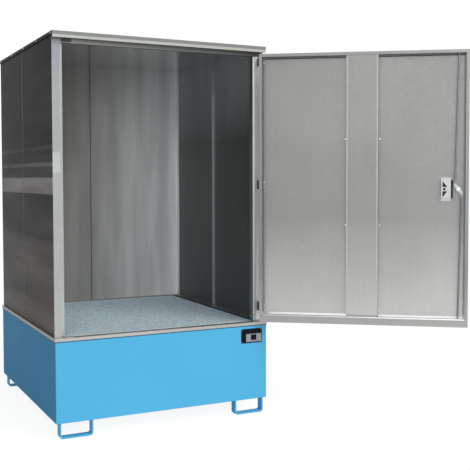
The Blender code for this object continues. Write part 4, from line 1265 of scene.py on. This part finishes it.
    def under_rim_shadow(self) -> None:
        """Lays a thin dark strip under the rim, all the way round, as a painted shadow line."""
        proud, low, high = self.shadow_line_proud, self.shadow_line_low, self.shadow_line_high
        width, depth = self.width, self.depth
        sides = {
            "front": ((-proud, -proud), (width + proud, proud)),
            "rear": ((-proud, depth - proud), (width + proud, depth + proud)),
            "left": ((-proud, proud), (proud, depth - proud)),
            "right": ((width - proud, proud), (width + proud, depth - proud)),
        }
        for side, (start, end) in sides.items():
            ends = (*start, low), (*end, high)
            self.bar(f"rim_shadow_line_{side}", *ends, self.shadow_line_ease, self.palette.under_rim_shadow)

    def screws(self) -> None:
        """Screws the lid on along both sides."""
        for side, x, way in (("left", 0.0, -1.0), ("right", self.width, 1.0)):
            points = [(x, y, self.screw_level) for y in self.screw_places]
            name = f"roof_screws_{side}"
            self.heads(name, points, (way, 0, 0), self.screw, self.palette.plated)

    def build(self) -> None:
        """Dresses the whole shell."""
        self.walls()
        self.seams()
        self.front()
        self.roof()
        self.under_rim_shadow()
        self.screws()


@dataclass
class FloorGrating(Assembly):
    """The two lift-out mats, with round cross rods through their bars."""

    rod: float = 5 * MM
    pitch: float = 38 * MM
    edge: float = 12 * MM
    sink: float = 3.2 * MM
    clearance: float = 2 * MM

    def build(self) -> None:
        """Dresses both mats and lays their cross rods."""
        zinc = self.palette.grating
        for side in ("left", "right"):
            node = f"grating_{side}"
            self.dress(zinc, node)
            low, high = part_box(node)
            count = int((high.y - low.y - 2 * self.edge) / self.pitch) + 1
            spare = (high.y - low.y - (count - 1) * self.pitch) / 2
            name = f"{node}_rods"
            mesh = rods_pattern().run(
                name,
                points_mesh(name, []),
                zinc,
                count=count,
                start=((low.x + high.x) / 2, low.y + spare, high.z - self.sink),
                step=(0.0, self.pitch, 0.0),
                radius=self.rod / 2,
                length=high.x - low.x - self.clearance,
            )
            self.add(name, mesh, zinc, body=f"grating_mat_{side}")


@dataclass
class Hinges(Assembly):
    """The three lift-off hinges with their bolts and screws."""

    foot_x: float = 1424.5 * MM
    foot_y: float = 46.6 * MM
    screw_rise: float = 15 * MM
    screw: tuple[float, float] = (5 * MM, 1.2 * MM)  # low, so that the closed door clears it

    def build(self) -> None:
        """Dresses leaves, pins and bolts, and screws the fixed leaves to the post."""
        points = []
        for number in (1, 2, 3):
            leaf = f"hinge_frame_leaf_{number}"
            others = (f"hinge_door_leaf_{number}", f"hinge_pin_{number}")
            self.dress(self.palette.hinge, leaf, *others)
            low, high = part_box(leaf)
            middle = (low.z + high.z) / 2
            for rise in (-self.screw_rise, self.screw_rise):
                points.append((self.foot_x, self.foot_y, middle + rise))
        for number in range(1, 7):
            self.dress(self.palette.plated, f"hinge_bolt_{number}")
        self.heads("hinge_foot_screws", points, (0, -1, 0), self.screw, self.palette.rod)


@dataclass
class DoorLeaf(Assembly):
    """The door's skin, bottom ledge and stiffener, with the stiffener's bolts."""

    rides_on: ClassVar[str] = "door"
    edge: float = 0.5 * MM
    left: float = 31 * MM
    right: float = 1429 * MM
    bottom: float = 638 * MM
    top: float = 2462 * MM
    lip: float = 30 * MM
    lip_face: float = 43 * MM
    ledge_top: float = 84 * MM
    flange_foot: float = 67 * MM
    slope_rise: tuple[float, float] = (0.5, 0.9)
    skin_back: float = 1.5 * MM
    # The beads are the thin strips that carry the painted shade and light beside the lips
    bead: float = 6 * MM
    bead_proud: float = 2 * MM
    bead_shift: float = 3.5 * MM
    bead_ease: float = 0.6 * MM
    tab: Point = (103 * MM, 1.5 * MM, 16 * MM)
    tab_back: float = 34.9 * MM
    tab_foot: float = 54.1 * MM
    tab_ease: float = 0.3 * MM
    # Where the painted highlight strips lie along the stiffener's bends
    bend: Point = (96 * MM, 105.2 * MM, 40.2 * MM)
    bend_ends: Point = (705 * MM, 2459 * MM, 1.2 * MM)
    bend_ease: float = 0.4 * MM
    flanges: tuple[float, ...] = (586.5 * MM, 815 * MM)
    flange_back: float = 3.3 * MM
    bolt_rises: tuple[float, ...] = (91 * MM, 670 * MM, 1247 * MM)
    nut: tuple[float, float] = (5.5 * MM, 3.2 * MM)
    bolt: tuple[float, float] = (5.5 * MM, 2.6 * MM)

    def matrix(self) -> Matrix:
        """The door is measured closed, and stands open."""
        return self.datum.door()

    def skin(self) -> None:
        """Softens the skin, whose lips close on the cabinet and carry a painted highlight on two
        sides.
        """
        skin = self.soften("door_skin", self.palette.door, self.edge)
        closed = self.matrix().inverted()
        inner = self.lip + MM

        def on_lip(face: Face) -> bool:
            """Tells whether a face is on the lips."""
            return (closed @ face.center).y > self.lip_face

        def highlighted(face: Face) -> bool:
            """Tells whether a face is on the hung lip or the top one."""
            x, _, z = closed @ face.center
            return on_lip(face) and (x > self.right - inner or z > self.top - inner)

        finish_faces(skin, self.palette.rail, on_lip)
        # The hung and top lips get a painted highlight
        finish_faces(skin, self.palette.fold, highlighted)

    def stiffener(self) -> None:
        """Softens the stiffener, lays a painted highlight strip along each of its long edges and
        closes its foot with a folded tab.
        """
        self.soften("door_stiffener", self.palette.door, self.edge)
        middle = (self.left + self.right) / 2
        half, sheet, rise = self.tab
        foot = self.bottom + self.tab_foot
        low = (middle - half, self.tab_back, foot)
        high = (middle + half, self.tab_back + sheet, foot + rise)
        self.bar("stiffener_foot_tab", low, high, self.tab_ease, self.palette.rail)
        near, far, front = self.bend
        foot, head, sheet = self.bend_ends
        for side, start, end in (("left", -far, -near), ("right", near, far)):
            low = (middle + start, front - sheet, foot)
            high = (middle + end, front, head)
            self.bar(f"stiffener_edge_highlight_{side}", low, high, self.bend_ease, self.palette.bend)

    def ledge(self) -> None:
        """Softens the bottom ledge, whose slope carries a painted highlight and whose flange looks
        like the skin.
        """
        ledge = self.soften("door_bottom_ledge", self.palette.ledge, self.edge)
        least, most = self.slope_rise
        finish_faces(ledge, self.palette.slope, lambda face: least < face.normal.z < most)
        flange = self.bottom + self.flange_foot
        finish_faces(ledge, self.palette.door, lambda face: face.center.z > flange)

    def lip_shadows(self) -> None:
        """Runs a flat strip down the skin beside each folded lip: a painted shadow under the top
        lip, painted shade beside the hung lip and painted light beside the free lip.
        """
        finishes = self.palette
        back, face = self.skin_back, self.skin_back + self.bead_proud
        shift, bead = self.bead_shift, self.bead
        free, hung = self.left + self.lip - shift, self.right - self.lip + shift
        roof, foot = self.top - self.lip, self.bottom + self.ledge_top
        beads = {
            "free": (finishes.free_lip_light, free, foot, free + bead, roof),
            "hung": (finishes.hung_lip_shade, hung - bead, foot, hung, roof),
            "top": (finishes.lip_shadows, free, roof - shift, hung, roof - shift + bead),
        }
        for side, (finish, start, under, end, over) in beads.items():
            low, high = (start, back, under), (end, face, over)
            self.bar(f"lip_shadow_strip_{side}", low, high, self.bead_ease, finish)

    def bolts(self) -> None:
        """Sets the bolts along the stiffener's flanges, with nuts inside and heads outside."""
        places = [
            (self.right - across, self.bottom + rise)
            for across in self.flanges
            for rise in self.bolt_rises
        ]
        inside = [(x, self.flange_back, z) for x, z in places]
        finish = self.palette.plated
        self.heads("stiffener_nuts", inside, (0, 1, 0), self.nut, finish, HeadShape.HEXAGON)
        outside = [(x, 0.0, z) for x, z in places]
        name = "stiffener_bolt_heads"
        self.heads(name, outside, (0, -1, 0), self.bolt, self.palette.door)

    def build(self) -> None:
        """Dresses the whole leaf."""
        self.skin()
        self.stiffener()
        self.ledge()
        self.lip_shadows()
        self.bolts()


@dataclass
class RodLock(Assembly):
    """Pull grip, turn handle, cam, rods and guides."""

    rides_on: ClassVar[str] = "door"
    axis_x: float = 98 * MM
    axis_z: float = 1551 * MM
    rest: float = math.radians(38)
    front: float = -40.6 * MM
    grip_width: float = 20 * MM
    grip_length: float = 110 * MM
    grip_sunk: float = 4 * MM
    grip_ease: float = 4 * MM
    waist: float = 14 * MM
    waist_power: float = 1.6
    waist_start: float = 0.2
    hub_radius: float = 20 * MM
    hub_reach: float = 12 * MM
    hub_back: float = -4.6 * MM
    hub_ease: float = 2 * MM
    pan_edge: float = 0.8 * MM
    bracket_edge: float = 0.5 * MM

    def matrix(self) -> Matrix:
        """The lock is measured upright on its own axis, and stands turned in the open door."""
        place = Matrix.Translation((self.axis_x, 0, self.axis_z))
        return self.datum.door() @ place @ Matrix.Rotation(self.rest, 4, "Y")

    def grip(self) -> None:
        """Moulds the turn handle's waisted grip."""
        work = bmesh.new()
        bmesh.ops.create_cube(work, size=1)
        depth = self.hub_back - self.hub_reach + self.grip_sunk - self.front
        size = (self.grip_width, depth, self.grip_length)
        bmesh.ops.scale(work, vec=size, verts=work.verts)
        bmesh.ops.translate(work, vec=(0, self.front + depth / 2, 0), verts=work.verts)
        upright = [edge for edge in work.edges if abs((edge.verts[0].co - edge.verts[1].co).z) > MM]
        bmesh.ops.subdivide_edges(work, edges=upright, cuts=7, use_grid_fill=True)
        for vert in work.verts:
            share = abs(vert.co.z) / (self.grip_length / 2)
            if share > self.waist_start:
                swell = (self.grip_width - self.waist) * share**self.waist_power
                vert.co.x *= (self.waist + swell) / self.grip_width
        mesh = closed_mesh(work, "turn_handle_grip")
        mesh = rounded(mesh, self.grip_ease, segments=4, sharp=50.0)
        smooth(mesh)
        mesh.transform(self.matrix())
        self.add("turn_handle_grip", mesh, self.palette.plastic, "turn_handle", body="lock")

    def hub(self) -> None:
        """Turns the handle's hub from a profile with eased rims."""
        radius, reach, ease = self.hub_radius, self.hub_reach, self.hub_ease
        profile = [
            (0.0, 0.0),
            (radius - ease, 0.0),
            (radius, ease),
            (radius, reach - ease),
            (radius - ease, reach),
            (0.0, reach),
        ]
        work = bmesh.new()
        verts = [work.verts.new((aside, -along, 0)) for aside, along in profile]
        edges = [work.edges.new(pair) for pair in zip(verts, verts[1:])]
        bmesh.ops.spin(
            work,
            geom=verts + edges,
            cent=(0, 0, 0),
            axis=(0, 1, 0),
            angle=math.tau,
            steps=32,
            use_merge=True,
        )
        bmesh.ops.remove_doubles(work, verts=work.verts, dist=MERGE)
        bmesh.ops.recalc_face_normals(work, faces=work.faces)
        mesh = closed_mesh(work, "turn_handle_hub")
        smooth(mesh)
        mesh.transform(self.matrix() @ Matrix.Translation((0, self.hub_back, 0)))
        self.add("turn_handle_hub", mesh, self.palette.plastic, body="lock")

    def build(self) -> None:
        """Dresses the lock and moulds its handle."""
        finishes = self.palette
        self.soften("grip_pan", finishes.plastic, self.pan_edge)
        self.soften("grip_bracket", finishes.bracket, self.bracket_edge)
        self.dress(finishes.plastic, "rod_guide_upper", "rod_guide_lower")
        self.dress(finishes.plated, "lock_bush", "lock_spindle", "key_plug")
        self.dress(finishes.bracket, "lock_cam")
        self.dress(finishes.rod, "upper_rod", "lower_rod")
        self.grip()
        self.hub()


@dataclass
class Studio:
    """A plain pale floor, soft light from the front right, and the photograph's camera."""

    eye: Point = (-2.5811, -5.7685, 1.6234)
    yaw: float = -0.4929
    pitch: float = 0.0429
    focal_px: float = 879.89
    centre_px: tuple[float, float] = (280.2548, 215.8207)
    frame_px: int = 470
    sensor: float = 36.0
    ambient: float = 0.22
    floor_size: float = 40.0
    floor_glow: float = 0.9
    floor_tone: float = 0.22
    lamp_distance: float = 10.0
    # Each lamp's name, strength, where it shines from and how wide it looks, in degrees
    lamps: tuple[tuple[str, float, Point, float], ...] = (
        ("key", 1.5, (0.36, -0.74, 0.62), 40.0),
        ("front", 1.25, (-0.30, -0.93, 0.10), 50.0),
        ("fill", 0.1, (-0.75, -0.55, 0.35), 40.0),
    )

    @staticmethod
    def part(tree: Tree, lighting: Node, shown: Node, end: str) -> None:
        """Ends a tree that lights the object by one shader and shows another.

        Args:
            tree: The tree.
            lighting: The shader that lights the object.
            shown: The shader for camera, glossy and transmission rays.
            end: The kind of the tree's last node.
        """
        rays = add_node(tree, "ShaderNodeLightPath").outputs
        seen = rays["Is Camera Ray"]
        for ray in ("Is Glossy Ray", "Is Transmission Ray"):
            either = {0: seen, 1: rays[ray]}
            seen = add_node(tree, "ShaderNodeMath", either, {"operation": "MAXIMUM"}).outputs[0]
        mixed = {0: seen, 1: lighting.outputs[0], 2: shown.outputs[0]}
        mix = add_node(tree, "ShaderNodeMixShader", mixed)
        add_node(tree, end, {"Surface": mix.outputs[0]})

    def world(self) -> None:
        """Sets a white background that lights the object only softly."""
        world = bpy.data.worlds.new("studio")
        bpy.context.scene.world = world
        tree = empty_tree(world)
        pale = {"Color": hex_colour("#fbfcff"), "Strength": self.ambient}
        soft = add_node(tree, "ShaderNodeBackground", pale)
        white = add_node(tree, "ShaderNodeBackground", {"Color": WHITE, "Strength": 1.0})
        self.part(tree, soft, white, "ShaderNodeOutputWorld")
        world.cycles.sampling_method = "NONE"

    def floor(self) -> None:
        """Lays a white floor that keeps a light shadow."""
        work = bmesh.new()
        bmesh.ops.create_grid(work, x_segments=1, y_segments=1, size=self.floor_size)
        floor = loose("studio_floor", closed_mesh(work, "studio_floor"))
        material = bpy.data.materials.new("studio_floor")
        tree = empty_tree(material)
        tone = (self.floor_tone, self.floor_tone, self.floor_tone, 1.0)
        lit = add_node(tree, "ShaderNodeBsdfDiffuse", {"Color": tone})
        glow = add_node(tree, "ShaderNodeEmission", {"Color": WHITE, "Strength": self.floor_glow})
        bright = add_node(tree, "ShaderNodeAddShader", {0: lit.outputs[0], 1: glow.outputs[0]})
        plain = add_node(tree, "ShaderNodeBsdfDiffuse", {"Color": hex_colour("#c4c4c4")})
        self.part(tree, plain, bright, "ShaderNodeOutputMaterial")
        material.cycles.emission_sampling = "NONE"
        floor.data.materials.append(material)

    def light(self) -> None:
        """Hangs the far soft lamps."""
        for name, strength, source, spread in self.lamps:
            data = bpy.data.lights.new(name, "SUN")
            data.energy = strength
            data.angle = math.radians(spread)
            lamp = loose(name, data)
            away = Vector(source).normalized()
            lamp.rotation_euler = away.to_track_quat("Z", "Y").to_euler()
            lamp.location = away * self.lamp_distance

    def camera(self) -> None:
        """Stands the camera where the photograph was taken."""
        data = bpy.data.cameras.new("photo_camera")
        data.sensor_width = self.sensor
        data.lens = self.focal_px * self.sensor / self.frame_px
        half = self.frame_px / 2
        data.shift_x = (half - self.centre_px[0]) / self.frame_px
        data.shift_y = (self.centre_px[1] - half) / self.frame_px
        camera = loose("photo_camera", data)
        camera.location = self.eye
        camera.rotation_euler = (math.pi / 2 - self.pitch, 0, self.yaw)
        bpy.context.scene.camera = camera

    def build(self) -> None:
        """Sets up the camera, the background, the floor and the light."""
        bpy.context.scene.view_settings.view_transform = "Standard"
        self.camera()
        self.world()
        self.floor()
        self.light()


def main() -> None:
    """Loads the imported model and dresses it, one sub-assembly after another."""
    logging.basicConfig(level=logging.INFO, format="%(name)s: %(message)s")
    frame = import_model()
    datum = Datum.read(frame)
    Studio().build()
    for assembly in (Sump, CabinetShell, FloorGrating, Hinges, DoorLeaf, RodLock):
        assembly(datum).build()


if __name__ == "__main__":
    main()
